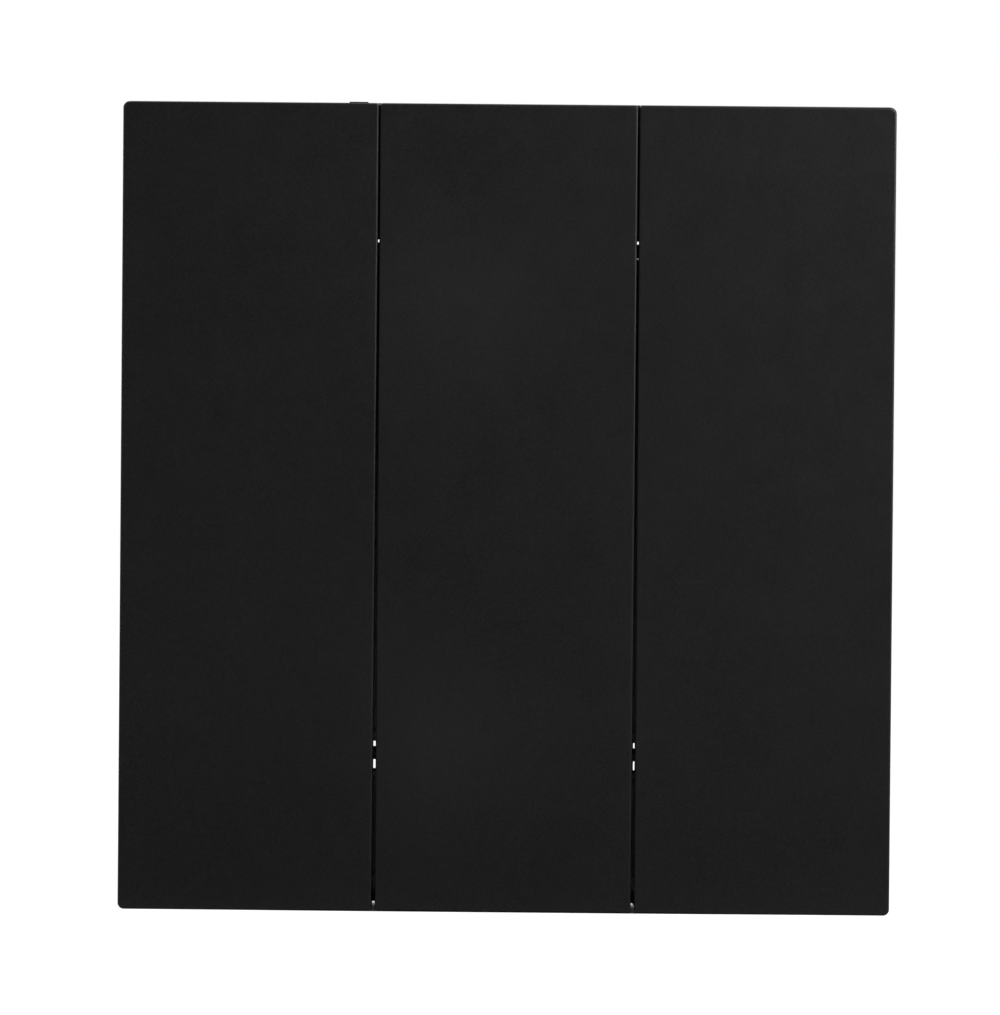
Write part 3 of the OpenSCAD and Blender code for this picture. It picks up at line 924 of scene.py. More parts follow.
BLACKENED_ROD = PlatedSteel(
    "blackened_rod",
    tone=(0.12, 0.12, 0.125, 1),
    tarnish=(0.075, 0.073, 0.07, 1),
    slot="rod",
    roughness=(0.3, 0.48),
    streak=(3 * MM, 0.05 * MM, 0.05 * MM),
)
SPRING_WIRE = PlatedSteel(
    "spring_wire",
    tone=(0.62, 0.62, 0.63, 1),
    tarnish=(0.42, 0.41, 0.40, 1),
    slot="spring",
    roughness=(0.2, 0.34),
    streak=(0.4 * MM, 0.06 * MM, 0.4 * MM),
)
Finish = MouldedPlastic | SheetZinc | PlatedSteel


class Paint:
    """Dresses pieces, and keeps one material for each finish."""

    def __init__(self) -> None:
        """Start with no material made."""
        self.made: dict[str, bpy.types.Material] = {}

    def dress(self, piece: Solid, finish: Finish, body: str, *nodes: str) -> Solid:
        """Give a finished piece its finish and its place in the assembly.

        Args:
            piece: The finished piece.
            finish: What it is made of.
            body: The CAD body that it moves with.
            nodes: The CAD nodes that it stands for.

        Returns:
            The same piece.
        """
        if finish.name not in self.made:
            self.made[finish.name] = finish.material()
        piece.data.materials.clear()
        piece.data.materials.append(self.made[finish.name])
        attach(piece, body)
        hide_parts(*nodes)
        triangles = sum(len(p.vertices) - 2 for p in piece.data.polygons)
        LOG.info("%s: %d triangles on %s, finish %s", piece.name, triangles, body, finish.name)
        return piece


@dataclass
class KeyCaps:
    """The three caps: a thin face, deep skirts on the plate's outside and lips at the gaps."""

    paint: Paint
    corner_r: float = 0.7 * MM
    gap_corner_r: float = 0.30 * MM
    edge_round: float = 0.28 * MM
    face_t: float = 1.6 * MM
    skirt_t: float = 1.5 * MM
    lip_t: float = 1.2 * MM
    lip_depth: float = 2.1686 * MM
    inner_r: float = 0.4 * MM
    rear_break: float = 0.08 * MM
    corner_steps: int = 5
    edge_steps: int = 4
    inner_steps: int = 3
    break_steps: int = 2
    clip_w: float = 2 * MM
    clip_t: float = 0.9 * MM
    clip_x: float = 7.2 * MM
    clip_rows: tuple[float, ...] = (33 * MM, 3 * MM, -31.6 * MM)
    barb: float = 0.4 * MM
    barb_front: float = 3.15 * MM
    barb_t: float = 0.6 * MM
    barb_chamfer: float = 0.75
    clip_sink: float = 0.2 * MM
    lean_z: Span = (29.7 * MM, -27.1 * MM)
    left_lean: Span = (-0.09 * MM, -0.18 * MM)
    middle_left_lean: Span = (-0.15 * MM, -0.09 * MM)
    middle_right_lean: Span = (0.01 * MM, -0.04 * MM)
    right_lean: Span = (-0.04 * MM, 0.045 * MM)
    scar_x: float = -16.75 * MM
    scar_w: float = 2.1 * MM
    scar_t: float = 0.13 * MM
    scar_ends: Span = (-4.4 * MM, -3.4 * MM)
    scar_sink: float = 0.3 * MM
    scar_round: float = 0.05 * MM

    def build(self) -> None:
        """Make the three caps and dress them."""
        right = self.cap(KeyPlace.RIGHT, outer=True)
        left = Bench.mirrored(right, "left_cap")
        self.gate_scar(left)
        middle = self.cap(KeyPlace.MIDDLE, outer=False)
        still = (0.0, 0.0)
        self.lean(left, still, self.left_lean)
        self.lean(middle, self.middle_left_lean, self.middle_right_lean)
        self.lean(right, self.right_lean, still)
        for place, piece in zip(KeyPlace, (left, middle, right)):
            Bench.shade(piece)
            self.paint.dress(piece, CAP_PLASTIC, f"{place.value}_key", f"{place.value}_key_cap")

    def cap(self, place: KeyPlace, outer: bool) -> Solid:
        """Model one cap.

        Args:
            place: Which key it is.
            outer: True if its right side is the plate's outside.

        Returns:
            The cap.
        """
        low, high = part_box(f"{place.value}_key_cap")
        right_r = self.corner_r if outer else self.gap_corner_r
        cap = self.shell(f"{place.value}_cap", low, high, right_r)
        self.hollow(cap, low, high, self.skirt_t if outer else self.lip_t)
        sides = (low.x,) if outer else (low.x, high.x)
        for side in sides:
            self.lower_lip(cap, low, high, side)
        lip_rear, lip_reach = low.y + self.lip_depth, self.lip_t + self.inner_r + Bench.NEAR

        def behind(a: Vector, b: Vector) -> bool:
            """Whether an edge lies around a cap's rear or a lip's rear.

            Args:
                a: One end of the edge.
                b: Its other end.

            Returns:
                True if it does.
            """
            if Bench.level(high.y, a.y, b.y):
                return True
            on_lip = any(all(abs(p.x - side) < lip_reach for p in (a, b)) for side in sides)
            return on_lip and Bench.level(lip_rear, a.y, b.y)

        Bench.flatten(cap)
        Bench.round_edges(cap, self.rear_break, self.break_steps, behind)
        self.clips(cap, (low.x + high.x) / 2, low.y)
        return cap

    def shell(self, name: str, low: Vector, high: Vector, right_r: float) -> Solid:
        """Block out a cap's outside with its rounded corners and front edge.

        Args:
            name: Name of the cap.
            low: Its lowest corner.
            high: Its highest corner.
            right_r: Radius of the corners on its right.

        Returns:
            The solid cap.
        """
        shell = Bench.block(name, low, high)
        for x, r in ((low.x, self.gap_corner_r), (high.x, right_r)):
            Bench.round_edges(
                shell,
                r,
                self.corner_steps,
                lambda a, b: Bench.level(x, a.x, b.x) and Bench.level(a.z, b.z),
            )
        Bench.round_edges(
            shell, self.edge_round, self.edge_steps, lambda a, b: Bench.level(low.y, a.y, b.y)
        )
        return shell

    def hollow(self, cap: Solid, low: Vector, high: Vector, right_t: float) -> None:
        """Hollow a cap from behind, with fillets where its walls meet the face.

        Args:
            cap: The solid cap.
            low: Its lowest corner.
            high: Its highest corner.
            right_t: Thickness of the wall on its right.
        """
        front = low.y + self.face_t
        tool = Bench.block(
            "hollow",
            (low.x + self.lip_t, front, low.z + self.skirt_t),
            (high.x - right_t, high.y + MM, high.z - self.skirt_t),
        )
        Bench.round_edges(
            tool,
            self.inner_r,
            self.inner_steps,
            lambda a, b: Bench.level(a.x, b.x) and Bench.level(a.z, b.z),
        )
        Bench.round_edges(
            tool, self.inner_r / 2, self.inner_steps, lambda a, b: Bench.level(front, a.y, b.y)
        )
        Bench.combine(cap, Joinery.CUT, tool)

    def lower_lip(self, cap: Solid, low: Vector, high: Vector, side: float) -> None:
        """Cut the wall beside a gap down to its lip.

        Args:
            cap: The hollow cap.
            low: Its lowest corner.
            high: Its highest corner.
            side: Place of the wall across the plate.
        """
        reach = 2 * self.lip_t
        tool = Bench.block(
            "lip",
            (side - reach, low.y + self.lip_depth, low.z + self.skirt_t),
            (side + reach, high.y + MM, high.z - self.skirt_t),
        )
        Bench.combine(cap, Joinery.CUT, tool)

    def clips(self, cap: Solid, middle: float, front: float) -> None:
        """Weld the six clips to the inside of a cap's face.

        Args:
            cap: The hollow cap.
            middle: Place of its middle line across the plate.
            front: Place of its face along Y.
        """
        root = front + self.face_t - self.clip_sink
        nose = front + self.barb_front
        rear = nose + self.barb_t
        half = self.clip_w / 2
        clips = []
        for side in (-1, 1):
            for z in self.clip_rows:
                x = middle + side * self.clip_x
                top = z + self.clip_t + self.barb
                clip = Bench.block(
                    "clip", (x - half, root, z), (x + half, rear, z + self.clip_t)
                )
                hook = Bench.block(
                    "hook", (x - half, nose, z + self.clip_t / 2), (x + half, rear, top)
                )
                Bench.round_edges(
                    hook,
                    self.barb_chamfer * self.barb,
                    1,
                    lambda a, b: Bench.level(top, a.z, b.z) and Bench.level(rear, a.y, b.y),
                )
                Bench.combine(clip, Joinery.WELD, hook)
                clips.append(clip)
        Bench.combine(cap, Joinery.WELD, *clips)

    def lean(self, cap: Solid, left: Span, right: Span) -> None:
        """Let a cap's sides lean a little, as caps sit in their play.

        Args:
            cap: The cap.
            left: How far its left side moves at the height of each rod.
            right: The same for its right side.
        """
        with Bench.editing(cap, "VERT"):
            mesh = bmesh.from_edit_mesh(cap.data)
            places = [vert.co.x for vert in mesh.verts]
            low, high = min(places), max(places)
            for vert in mesh.verts:
                down = (self.lean_z[0] - vert.co.z) / (self.lean_z[0] - self.lean_z[1])
                across = (vert.co.x - low) / (high - low)
                shifts = [side[0] + (side[1] - side[0]) * down for side in (left, right)]
                vert.co.x += shifts[0] + (shifts[1] - shifts[0]) * across
            bmesh.update_edit_mesh(cap.data)

    def gate_scar(self, cap: Solid) -> None:
        """Weld the trimmed gate to a cap's top side.

        Args:
            cap: The left cap.
        """
        _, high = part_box("left_key_cap")
        half = self.scar_w / 2
        front, rear = (high.y + end for end in self.scar_ends)
        scar = Bench.block(
            "scar",
            (self.scar_x - half, front, high.z - self.scar_sink),
            (self.scar_x + half, rear, high.z + self.scar_t),
        )
        Bench.round_edges(
            scar,
            self.scar_round,
            self.break_steps,
            lambda a, b: a.z > high.z and b.z > high.z,
        )
        Bench.combine(cap, Joinery.WELD, scar)


@dataclass
class KeyCarriers:
    """The three ribbed plates behind the caps, with the lugs that run on the rods."""

    paint: Paint
    edge_break: float = 0.1 * MM

    def build(self) -> None:
        """Make the three carriers and dress them."""
        right = Bench.from_node("right_key_carrier", "right_carrier")
        middle = Bench.from_node("middle_key_carrier", "middle_carrier")
        for piece in (right, middle):
            Bench.soften(piece, self.edge_break)
        left = Bench.mirrored(right, "left_carrier")
        for place, piece in zip(KeyPlace, (left, middle, right)):
            Bench.shade(piece)
            name = place.value
            self.paint.dress(piece, CARRIER_PLASTIC, f"{name}_key", f"{name}_key_carrier")


@dataclass
class Rods:
    """The hinge rod and the stop rod, with chamfered ends."""

    paint: Paint
    chamfer: float = 0.15 * MM

    def build(self) -> None:
        """Turn the two rods."""
        low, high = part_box("hinge_rod")
        r = (high.z - low.z) / 2
        profile = (
            (low.x, 0),
            (low.x, r - self.chamfer),
            (low.x + self.chamfer, r),
            (high.x - self.chamfer, r),
            (high.x, r - self.chamfer),
            (high.x, 0),
        )
        rod = Bench.turned("rod", profile, axis="X")
        for node in ("hinge_rod", "stop_rod"):
            low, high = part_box(node)
            place = (0, (low.y + high.y) / 2, (low.z + high.z) / 2)
            piece = Bench.copy(rod, f"{node}_bar", place)
            Bench.shade(piece)
            self.paint.dress(piece, BLACKENED_ROD, "base", node)
        bpy.data.objects.remove(rod)


@dataclass
class CrossScrew:
    """A pan-head screw with a rolled thread and a cross recess.

    The underside of its head is at y = 0. Fields without a unit are shares of the head's radius
    or thickness, or of the thread's pitch.
    """

    head_r: float
    head_t: float
    neck_r: float
    neck_len: float
    thread_r: float
    core_r: float
    length: float
    tip: float
    tip_r: float
    pitch: float
    recess_w: float
    sunk: float = 0.06 * MM
    neck_fade: float = 0.2 * MM
    brim_t: float = 0.42
    crown_t: float = 0.58
    crown_r: float = 0.28
    crown_in: float = 0.72
    crown_steps: int = 8
    head_break: float = 0.06
    ridge_half: float = 0.42
    crest_half: float = 0.06
    thread_steps: int = 32
    recess_reach: float = 0.62
    recess_depth: float = 0.7
    recess_taper: Span = (0.8, 0.55)
    faded: float = 0.05

    def build(self, name: str) -> Solid:
        """Model the screw along Y, with its head in front.

        Args:
            name: Name of the new piece.

        Returns:
            The screw.
        """
        screw = Bench.turned(name, self.core_profile())
        Bench.combine(screw, Joinery.WELD, self.thread())
        for tool in self.recess():
            Bench.combine(screw, Joinery.CUT, tool)
        Bench.tidy(screw)
        return screw

    def core_profile(self) -> list[Span]:
        """Outline of the head, the neck and the thread's core.

        Returns:
            Places along the screw with the radius there, from the head to the tip.
        """
        brim = self.brim_t * self.head_t
        crown = Bench.arc(
            (-brim, self.crown_in * self.head_r),
            self.crown_r * self.head_r,
            180,
            90,
            self.crown_steps,
        )
        squash = self.crown_t * self.head_t / (self.crown_r * self.head_r)
        crown = [(-brim + (place + brim) * squash, r) for place, r in crown]
        edge = self.head_break * self.head_r
        return [
            (-self.head_t, 0),
            *crown,
            (-edge, self.head_r),
            (0, self.head_r - edge),
            (0, self.neck_r + edge),
            (edge, self.neck_r),
            (self.neck_len, self.neck_r),
            (self.neck_len + self.neck_fade, self.core_r),
            (self.length - self.tip, self.core_r),
            (self.length, self.tip_r),
            (self.length, 0),
        ]

    def run_out(self, y: float) -> Span:
        """How the thread fades out at its start and its tip.

        Args:
            y: Place along the screw.

        Returns:
            The radius of its root there and its share of its full height.
        """
        taper = max(0.0, y - (self.length - self.tip))
        root = self.core_r - taper * (self.core_r - self.tip_r) / self.tip - self.sunk
        start, end = (y - self.neck_len) / self.pitch, (self.length - y) / self.tip
        return root, min(1.0, max(self.faded, start), max(self.faded, end))

    def thread(self) -> Solid:
        """Wind a ridge of triangular section around the core.

        Returns:
            The closed ridge, which fades out at both ends.
        """
        half = self.ridge_half * self.pitch
        crest = self.crest_half * self.pitch
        root = self.core_r - self.sunk
        section = ((-half, root), (-crest, self.thread_r), (crest, self.thread_r), (half, root))
        thread = Bench.outline("thread", [(self.neck_len + y, r) for y, r in section])
        turns = math.floor((self.length - self.neck_len) / self.pitch - 0.5)
        Bench.modify(
            thread,
            "SCREW",
            axis="Y",
            angle=2 * math.pi,
            screw_offset=self.pitch,
            iterations=turns,
            steps=self.thread_steps,
            render_steps=self.thread_steps,
            use_normal_calculate=True,
        )
        with Bench.editing(thread, "EDGE"):
            bpy.ops.mesh.select_all(action="SELECT")
            bpy.ops.mesh.fill_holes(sides=0)
            mesh = bmesh.from_edit_mesh(thread.data)
            for vert in mesh.verts:
                r = math.hypot(vert.co.x, vert.co.z)
                foot, share = self.run_out(vert.co.y)
                stretch = (foot + (r - root) * share) / r
                vert.co = Vector((vert.co.x * stretch, vert.co.y, vert.co.z * stretch))
            bmesh.update_edit_mesh(thread.data)
        Bench.tidy(thread)
        return thread

    def recess(self) -> list[Solid]:
        """Make the two tapered blades that cut the cross recess.

        Returns:
            The blades.
        """
        blades = []
        reach, depth = self.recess_reach * self.head_r, self.recess_depth * self.head_t
        short, long = self.recess_taper
        for wide, tall in ((reach, self.recess_w / 2), (self.recess_w / 2, reach)):
            blade = Bench.block(
                "blade", (-wide, -self.head_t - MM, -tall), (wide, depth - self.head_t, tall)
            )
            with Bench.editing(blade, "FACE"):
                mesh = bmesh.from_edit_mesh(blade.data)
                for face in mesh.faces:
                    face.select_set(face.normal.y > 0.9)
                bmesh.update_edit_mesh(blade.data)
                taper = (long, 1, short) if wide > tall else (short, 1, long)
                bpy.ops.transform.resize(value=taper)
            blades.append(blade)
        return blades


@dataclass
class Mounting:
    """The galvanised mounting plate and the two screws that hold it to a wall box."""

    paint: Paint
    edge_break: float = 0.12 * MM
    screw_seat: float = -1.2 * MM
    screw_head_r: float = 3.4 * MM

    def build(self) -> None:
        """Make the plate and its screws and dress them."""
        plate = Bench.from_node("mounting_plate", "steel_plate")
        Bench.soften(plate, self.edge_break)
        Bench.shade(plate)
        self.paint.dress(plate, ZINC_SHEET, "base", "mounting_plate")
        low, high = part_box("box_screws")
        seat = self.screw_seat
        screw = CrossScrew(
            head_r=self.screw_head_r,
            head_t=seat - low.y,
            neck_r=1.5 * MM,
            neck_len=1.5 * MM,
            thread_r=1.75 * MM,
            core_r=1.42 * MM,
            length=high.y - seat,
            tip=1.0 * MM,
            tip_r=0.8 * MM,
            pitch=0.6 * MM,
            recess_w=0.9 * MM,
        ).build("screw")
        reach = high.x - self.screw_head_r
        pair = [Bench.copy(screw, "screw", (x, seat, 0)) for x in (-reach, reach)]
        bpy.data.objects.remove(screw)
        both = Bench.join(pair, "box_screw_pair")
        Bench.shade(both)
        self.paint.dress(both, BRIGHT_ZINC, "base", "box_screws")


@dataclass
class Frame:
    """The cover frame with its stiffening ribs, ejector marks and flash behind the gaps."""

    paint: Paint
    edge_break: float = 0.07 * MM
    rib_w: float = 0.8 * MM
    rib_rear: float = -0.25 * MM
    web_back: float = -1.2 * MM
    rim_in: float = 41.2 * MM
    side_rib_in: float = 37.2 * MM
    end_rib_in: float = 39.7 * MM
    rim_t: float = 1.5 * MM
    rib_sink: float = 0.3 * MM
    rib_pitch: float = 8.5 * MM
    side_rib_rows: range = range(-4, 5)
    end_ribs: tuple[float, ...] = (-34 * MM, -18 * MM, -9 * MM, 9 * MM, 18 * MM, 34 * MM)
    mark_r: float = 1.2 * MM
    mark_depth: float = 0.08 * MM
    mark_sides: int = 32
    marks: tuple[Span, ...] = (
        (-20 * MM, 24 * MM),
        (0, 24 * MM),
        (20 * MM, 24 * MM),
        (-20 * MM, 2 * MM),
        (0, 2 * MM),
        (20 * MM, 2 * MM),
        (-8 * MM, -29 * MM),
        (8 * MM, -29 * MM),
    )
    notches: tuple[Span, ...] = ((-14.77 * MM, -14.03 * MM), (13.97 * MM, 14.44 * MM))
    notch_top: float = -44.37 * MM
    flash_w: float = 2 * MM
    hinge_flash_y: Span = (-2.5 * MM, -1.5 * MM)
    hinge_flashes: tuple[tuple[int, Span], ...] = (
        (-1, (27.4 * MM, 29.42 * MM)),
        (1, (27.4 * MM, 27.77 * MM)),
        (1, (28.2 * MM, 29.41 * MM)),
        (-1, (29.72 * MM, 30.2 * MM)),
        (1, (29.72 * MM, 30.2 * MM)),
    )
    sill_y: Span = (-6.3 * MM, -5.5 * MM)
    sill_z: Span = (-29.9 * MM, -29.27 * MM)
    slits: tuple[Span, ...] = ((-14.67 * MM, -14.421 * MM), (14.327 * MM, 14.492 * MM))
    slit_y: Span = (-6.38 * MM, -5.6 * MM)
    slit_z: Span = (-29.7 * MM, -26.05 * MM)
    window_w: float = 1.6 * MM
    jamb_sink: float = 0.15 * MM
    light_stop_y: Span = (-4.3 * MM, -2.5 * MM)
    light_stop_z: Span = (42.6 * MM, 44.97 * MM)

    def build(self) -> None:
        """Make the frame and dress it."""
        shell = Bench.from_node("cover_frame", "frame_shell")
        Bench.combine(shell, Joinery.WELD, *self.ribs())
        Bench.combine(shell, Joinery.WELD, *self.jambs())
        Bench.combine(shell, Joinery.CUT, *self.hollows())
        Bench.soften(shell, self.edge_break)
        Bench.shade(shell)
        self.paint.dress(shell, FRAME_PLASTIC, "base", "cover_frame")

    def hollows(self) -> list[Solid]:
        """Make what is cut from the frame: ejector marks, and notches under the gaps.

        Returns:
            The cutting tools.
        """
        front = self.web_back - self.mark_depth
        hollows = [
            Bench.peg("mark", x, z, front, MM, self.mark_r, self.mark_sides)
            for x, z in self.marks
        ]
        low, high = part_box("cover_frame")
        for left, right in self.notches:
            start = (left, low.y - MM, low.z - MM)
            hollows.append(Bench.block("notch", start, (right, high.y + MM, self.notch_top)))
        return hollows

    def ribs(self) -> list[Solid]:
        """Make the ribs between the rim and the web, and the flash at the rods' windows.

        Returns:
            The ribs, with the flash, the sills and the light stops.
        """
        root, half = self.web_back - self.rib_sink, self.rib_w / 2
        low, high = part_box("cover_frame")
        spans = []
        for row in self.side_rib_rows:
            z = row * self.rib_pitch
            for side in (-1, 1):
                left, right = sorted(
                    (side * self.side_rib_in, side * (self.rim_in + self.rib_sink))
                )
                spans.append((left, right, z - half, z + half))
        for x in self.end_ribs:
            spans.append((x - half, x + half, self.end_rib_in, high.z - self.rim_t))
            spans.append((x - half, x + half, low.z + self.rim_t, -self.end_rib_in))
        ribs = [
            Bench.block("rib", (left, root, bottom), (right, self.rib_rear, top))
            for left, right, bottom, top in spans
        ]
        spots = [(side, self.hinge_flash_y, heights) for side, heights in self.hinge_flashes]
        for side in (-1, 1):
            spots.append((side, self.sill_y, self.sill_z))
            spots.append((side, self.light_stop_y, self.light_stop_z))
        for side, (front, rear), (bottom, top) in spots:
            left, right = (side * GAP_X + end * self.flash_w / 2 for end in (-1, 1))
            ribs.append(Bench.block("flash", (left, front, bottom), (right, rear, top)))
        return ribs

    def jambs(self) -> list[Solid]:
        """Make the flash that narrows the stop rod's windows to slits behind the gaps.

        Returns:
            Two slivers for each window.
        """
        reach = self.window_w / 2 + self.jamb_sink
        jambs = []
        for side, slit in zip((-1, 1), self.slits):
            middle = side * GAP_X
            for left, right in ((middle - reach, slit[0]), (slit[1], middle + reach)):
                low = (left, self.slit_y[0], self.slit_z[0])
                jambs.append(Bench.block("jamb", low, (right, self.slit_y[1], self.slit_z[1])))
        return jambs


@dataclass
class Bumpers:
    """The six stop bumpers, each a domed pad on a peg."""

    paint: Paint
    pad_r: float = 2 * MM
    pad_t: float = 1.2 * MM
    dome: float = 0.25 * MM
    dome_steps: int = 5
    pad_chamfer: float = 0.1 * MM
    peg_r: float = 0.8 * MM
    peg_chamfer: float = 0.25 * MM
    off_middle: float = 8 * MM

    def build(self) -> None:
        """Turn one bumper, set six of it on their posts, and dress them."""
        low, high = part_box("stop_bumpers")
        length = high.y - low.y
        profile = [
            (0, 0),
            *Bench.arc((self.dome, self.pad_r - self.dome), self.dome, 180, 90, self.dome_steps),
            (self.pad_t - self.pad_chamfer, self.pad_r),
            (self.pad_t, self.pad_r - self.pad_chamfer),
            (self.pad_t, self.peg_r),
            (length - self.peg_chamfer, self.peg_r),
            (length, self.peg_r - self.peg_chamfer),
            (length, 0),
        ]
        bumper = Bench.turned("bumper", profile)
        pitch_x = (high.x - low.x) / 2 - self.pad_r - self.off_middle
        z = (low.z + high.z) / 2
        six = [
            Bench.copy(bumper, "bumper", (mid + side * self.off_middle, low.y, z))
            for mid in (-pitch_x, 0, pitch_x)
            for side in (-1, 1)
        ]
        bpy.data.objects.remove(bumper)
        pads = Bench.join(six, "bumper_set")
        Bench.shade(pads)
        self.paint.dress(pads, SILICONE, "base", "stop_bumpers")


@dataclass
class PlungerGuide:
    """The guide plate with its screws, the three plungers and their return springs."""

    paint: Paint
    edge_break: float = 0.1 * MM
    head_r: float = 3 * MM
    head_t: float = 1 * MM
    head_edge: float = 0.2 * MM
    dimple_r: Span = (0.3 * MM, 0.45 * MM)
    dimple_depth: float = 0.12 * MM
    stem_r: float = 1.5 * MM
    stem_foot: float = 0.2 * MM
    stem_tip: float = 0.3 * MM
    edge_steps: int = 4
    back_steps: int = 3
    screw_head_r: float = 1.7 * MM
    screw_head_t: float = 1.3 * MM
    wire_r: float = 0.225 * MM
    coil_r: float = 2.375 * MM
    turns: float = 4.5
    closed: float = 1.0
    lay: float = 2.1
    steps: int = 28
    wire_steps: int = 4
    wire_shading: float = 60
    spring_keep: float = 0.7228

    def build(self) -> None:
        """Make the guide and all that runs in it, and dress it."""
        plate = Bench.from_node("guide_plate", "guide")
        Bench.soften(plate, self.edge_break)
        Bench.shade(plate)
        self.paint.dress(plate, GUIDE_PLASTIC, "base", "guide_plate")
        self.screws()
        for place in KeyPlace:
            self.plunger(place.value)
            self.spring(place.value)

    def screws(self) -> None:
        """Set four screws through the guide plate, with their heads behind it."""
        low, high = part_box("guide_plate_screws")
        seat, head_r = high.y - self.screw_head_t, self.screw_head_r
        screw = CrossScrew(
            head_r=head_r,
            head_t=high.y - seat,
            neck_r=0.75 * MM,
            neck_len=1.2 * MM,
            thread_r=0.85 * MM,
            core_r=0.62 * MM,
            length=seat - low.y,
            tip=0.6 * MM,
            tip_r=0.35 * MM,
            pitch=0.55 * MM,
            recess_w=0.62 * MM,
        ).build("screw")
        screw.rotation_euler = (0, 0, math.pi)
        Bench.pick(screw)
        Bench.settle("screw")
        four = [
            Bench.copy(screw, "screw", (x, seat, z))
            for x in (low.x + head_r, high.x - head_r)
            for z in (low.z + head_r, high.z - head_r)
        ]
        bpy.data.objects.remove(screw)
        piece = Bench.join(four, "guide_screw_set")
        Bench.shade(piece)
        self.paint.dress(piece, BRIGHT_ZINC, "base", "guide_plate_screws")

    def plunger(self, side: str) -> None:
        """Turn one plunger, with a rounded head and a chamfered tip.

        Args:
            side: Which key it is for.
        """
        node = f"{side}_plunger"
        low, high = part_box(node)
        r, edge, foot = self.head_r, self.head_edge, self.stem_foot
        front = (edge, r - edge)
        back = (self.head_t - edge / 2, r - edge / 2)
        neck = (self.head_t + foot, self.stem_r + foot)
        length = high.y - low.y
        profile = [
            (self.dimple_depth, 0),
            (self.dimple_depth, self.dimple_r[0]),
            (0, self.dimple_r[1]),
            *Bench.arc(front, edge, 180, 90, self.edge_steps),
            *Bench.arc(back, edge / 2, 90, 0, self.back_steps),
            *Bench.arc(neck, foot, 180, 270, self.edge_steps),
            (length - self.stem_tip, self.stem_r),
            (length, self.stem_r - self.stem_tip),
            (length, 0),
        ]
        piece = Bench.turned(f"{side}_push_pin", profile)
        Bench.pick(piece)
        piece.location = ((low.x + high.x) / 2, low.y, (low.z + high.z) / 2)
        Bench.settle(piece.name)
        Bench.shade(piece)
        self.paint.dress(piece, ACETAL, node, node)

    def coil(self, turn: float, rise: float) -> float:
        """How far the wire of a spring with closed ends has climbed.

        Args:
            turn: Turns from its start.
            rise: How far it climbs in all.

        Returns:
            The height of the wire's middle.
        """
        lay = self.lay * self.wire_r
        active = (rise - 2 * lay * self.closed) / (self.turns - 2 * self.closed)
        last = self.turns - self.closed
        if turn < self.closed:
            return lay * turn
        if turn > last:
            return rise - lay * (self.turns - turn)
        return lay * self.closed + active * (turn - self.closed)

    def spring(self, side: str) -> None:
        """Wind one return spring.

        Args:
            side: Which key it is for.
        """
        node = f"{side}_return_spring"
        low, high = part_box(node)
        plunger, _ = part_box(f"{side}_plunger")
        mid_x, mid_z = plunger.x + self.head_r, plunger.z + self.head_r
        rise = high.y - low.y - 2 * self.wire_r
        Bench.clear()
        data = bpy.data.curves.new(f"{side}_coil", "CURVE")
        data.dimensions = "3D"
        data.bevel_depth = self.wire_r
        data.bevel_resolution = self.wire_steps
        data.use_fill_caps = True
        line = data.splines.new("POLY")
        line.points.add(round(self.turns * self.steps))
        for i, point in enumerate(line.points):
            turn = i / self.steps
            angle = 2 * math.pi * turn
            point.co = (
                mid_x + self.coil_r * math.cos(angle),
                high.y - self.wire_r - self.coil(turn, rise),
                mid_z + self.coil_r * math.sin(angle),
                1,
            )
        coil = bpy.data.objects.new(data.name, data)
        bpy.context.scene.collection.objects.link(coil)
        Bench.pick(coil)
        bpy.ops.object.convert(target="MESH")
        piece = bpy.context.view_layer.objects.active
        Bench.tidy(piece)
        Bench.shade(piece, self.wire_shading)
        self.paint.dress(piece, SPRING_WIRE, "base", node)
        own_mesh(piece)


@dataclass(frozen=True)
class Softbox:
    """A square soft light that looks at the plate's middle."""

    name: str
    place: Point
    size: float
    power: float

    def hang(self) -> None:
        """Hang the light."""
        data = bpy.data.lights.new(self.name, "AREA")
        data.size = self.size
        data.energy = self.power
        light = bpy.data.objects.new(self.name, data)
        light.location = self.place
        light.rotation_mode = "QUATERNION"
        light.rotation_quaternion = (-Vector(self.place)).to_track_quat("-Z", "Y")
        bpy.context.scene.collection.objects.link(light)


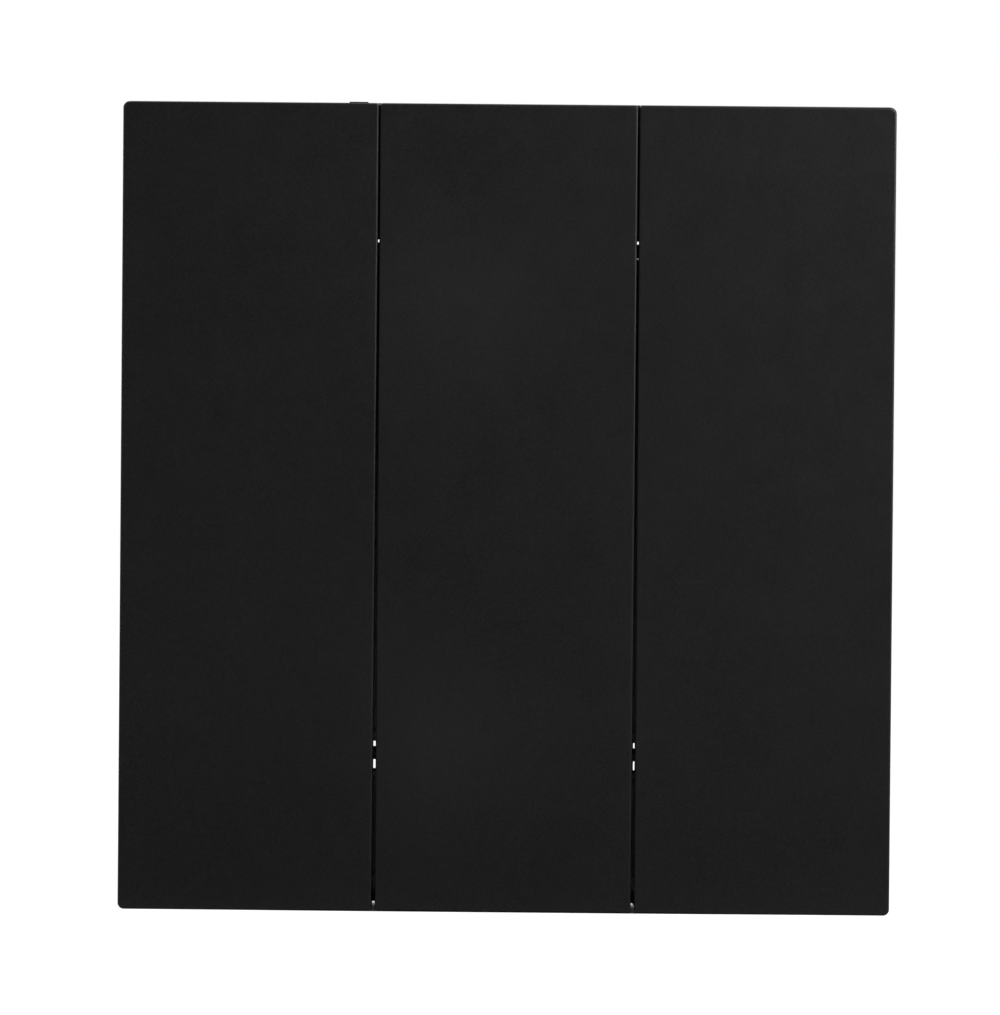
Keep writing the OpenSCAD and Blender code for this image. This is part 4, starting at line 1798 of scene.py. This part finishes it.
@dataclass
class Studio:
    """The floor, the light and the camera."""

    aim: Point = (-0.73 * MM, -10 * MM, 0.148 * MM)
    distance: float = 1.35
    azimuth: float = 0.5
    elevation: float = 2.2
    roll: float = 0.49
    view_height: float = 112.95 * MM
    sensor: float = 36.0
    far: float = 100.0
    floor_z: float = -45 * MM
    floor_size: float = 12.0
    floor_tone: float = 0.25
    floor_glow: float = 0.9
    # A painted contact shadow: the floor's glow fades out over this patch under and behind the
    # object.
    shade_centre: Point = (0, -5 * MM, -45 * MM)
    shade_reach: Point = (50 * MM, 18 * MM, 18 * MM)
    shade_front: float = -10.3 * MM
    shade_rise: float = 0.3 * MM
    shade_edge: float = 0.3
    shade_core: float = 0.02
    front_light: float = 0.095
    rear_light: float = 1.0
    front_end: float = -40 * MM
    light_rise: float = 80 * MM
    horizon: Span = (-0.4, 0.4)
    ambient: float = 0.42
    lights: tuple[Softbox, ...] = (
        Softbox("key_light", (0.11, -0.10, 0.135), 0.07, 0.245),
        Softbox("side_light", (0.17, -0.06, 0.06), 0.08, 0.15),
        Softbox("fill_light", (-0.70, -0.50, 0.40), 0.5, 1.5),
        Softbox("back_light", (-0.35, 0.70, 0.22), 0.5, 1.6),
    )

    def build(self) -> None:
        """Set up everything around the object."""
        self.camera()
        self.floor()
        self.world()
        for light in self.lights:
            light.hang()
        bpy.context.scene.view_settings.view_transform = "Standard"

    def camera(self) -> None:
        """Place the camera on its line of sight."""
        a, e = math.radians(self.azimuth), math.radians(self.elevation)
        back = Vector((math.sin(a) * math.cos(e), -math.cos(a) * math.cos(e), math.sin(e)))
        data = bpy.data.cameras.new("camera")
        data.sensor_width = self.sensor
        data.lens = self.sensor * self.distance / self.view_height
        data.clip_end = self.far
        camera = bpy.data.objects.new("camera", data)
        bpy.context.scene.collection.objects.link(camera)
        camera.rotation_mode = "QUATERNION"
        turn = (-back).to_track_quat("-Z", "Y")
        spin = Quaternion((0, 0, 1), math.radians(self.roll))
        camera.rotation_quaternion = turn @ spin
        camera.location = Vector(self.aim) + back * self.distance
        bpy.context.scene.camera = camera

    def floor(self) -> None:
        """Lay the pale floor, which looks white except where the object's real shadow and a
        painted contact shadow darken it.
        """
        Bench.clear()
        bpy.ops.mesh.primitive_plane_add(size=self.floor_size, location=(0, 0, self.floor_z))
        floor = Bench.settle("floor")
        board = Board("pale_floor", "ShaderNodeBsdfDiffuse")
        board.shader.inputs["Color"].default_value = (self.floor_tone,) * 3 + (1,)
        glow = board.add("ShaderNodeEmission")
        total = board.add("ShaderNodeAddShader")
        board.link(board.shader.outputs[0], total.inputs[0])
        board.link(glow.outputs[0], total.inputs[1])
        board.link(total.outputs[0], board.output.inputs["Surface"])
        ray = board.add("ShaderNodeLightPath").outputs
        rise = board.mapped((self.light_rise, MM, MM), (0, self.front_end, 0), 90)
        behind = board.gradient(rise, "EASING")
        behind = board.fit(behind, (0, 1), (self.front_light, self.rear_light))
        mirrored = board.larger(ray["Is Glossy Ray"], ray["Is Transmission Ray"])
        seen = board.larger(ray["Is Camera Ray"], board.times(mirrored, behind))
        # The glow is cut back under the object, which paints its contact shadow.
        seen = board.times(seen, self.outside_painted_shadow(board))
        board.link(board.times(seen, self.floor_glow), glow.inputs["Strength"])
        floor.data.materials.append(board.material)

    def outside_painted_shadow(self, board: Board) -> Socket:
        """How much of the floor's glow a spot keeps outside a painted contact shadow under the
        object.

        Args:
            board: The floor's material.

        Returns:
            1 on the open floor and almost 0 in the painted shadow under the object.
        """
        under = board.patch(self.shade_centre, self.shade_reach)
        rise = board.mapped((self.shade_rise, MM, MM), (0, self.shade_front, 0), 90)
        shade = board.times(under, board.gradient(rise, "LINEAR"))
        return board.fit(shade, (0, self.shade_edge), (1, self.shade_core))

    def world(self) -> None:
        """Make a white surround to look at, with a dim front and a bright rear to mirror."""
        world = bpy.data.worlds.new("surround")
        bpy.context.scene.world = world
        world.use_nodes = True
        board = Nodes(world.node_tree)
        ray = board.add("ShaderNodeLightPath").outputs
        way = board.add("ShaderNodeSeparateXYZ")
        board.link(board.add("ShaderNodeTexCoord").outputs["Generated"], way.inputs[0])
        behind = board.fit(way.outputs["Y"], self.horizon, (self.front_light, self.rear_light))
        mirrored = board.larger(ray["Is Glossy Ray"], ray["Is Transmission Ray"])
        glossy = board.mix(mirrored, self.ambient, behind)
        light = board.add("ShaderNodeBackground")
        light.inputs["Color"].default_value = (1, 1, 1, 1)
        board.link(board.mix(ray["Is Camera Ray"], glossy, 1), light.inputs["Strength"])
        board.link(light.outputs[0], board.add("ShaderNodeOutputWorld").inputs["Surface"])


def main() -> None:
    """Build the sub-assemblies in order and note the sizes."""
    logging.basicConfig(level=logging.INFO, format="%(name)s: %(message)s")
    paint = Paint()
    Studio().build()
    for assembly in (KeyCaps, KeyCarriers, Rods, Frame, Bumpers, PlungerGuide, Mounting):
        assembly(paint).build()


if __name__ == "__main__":
    main()
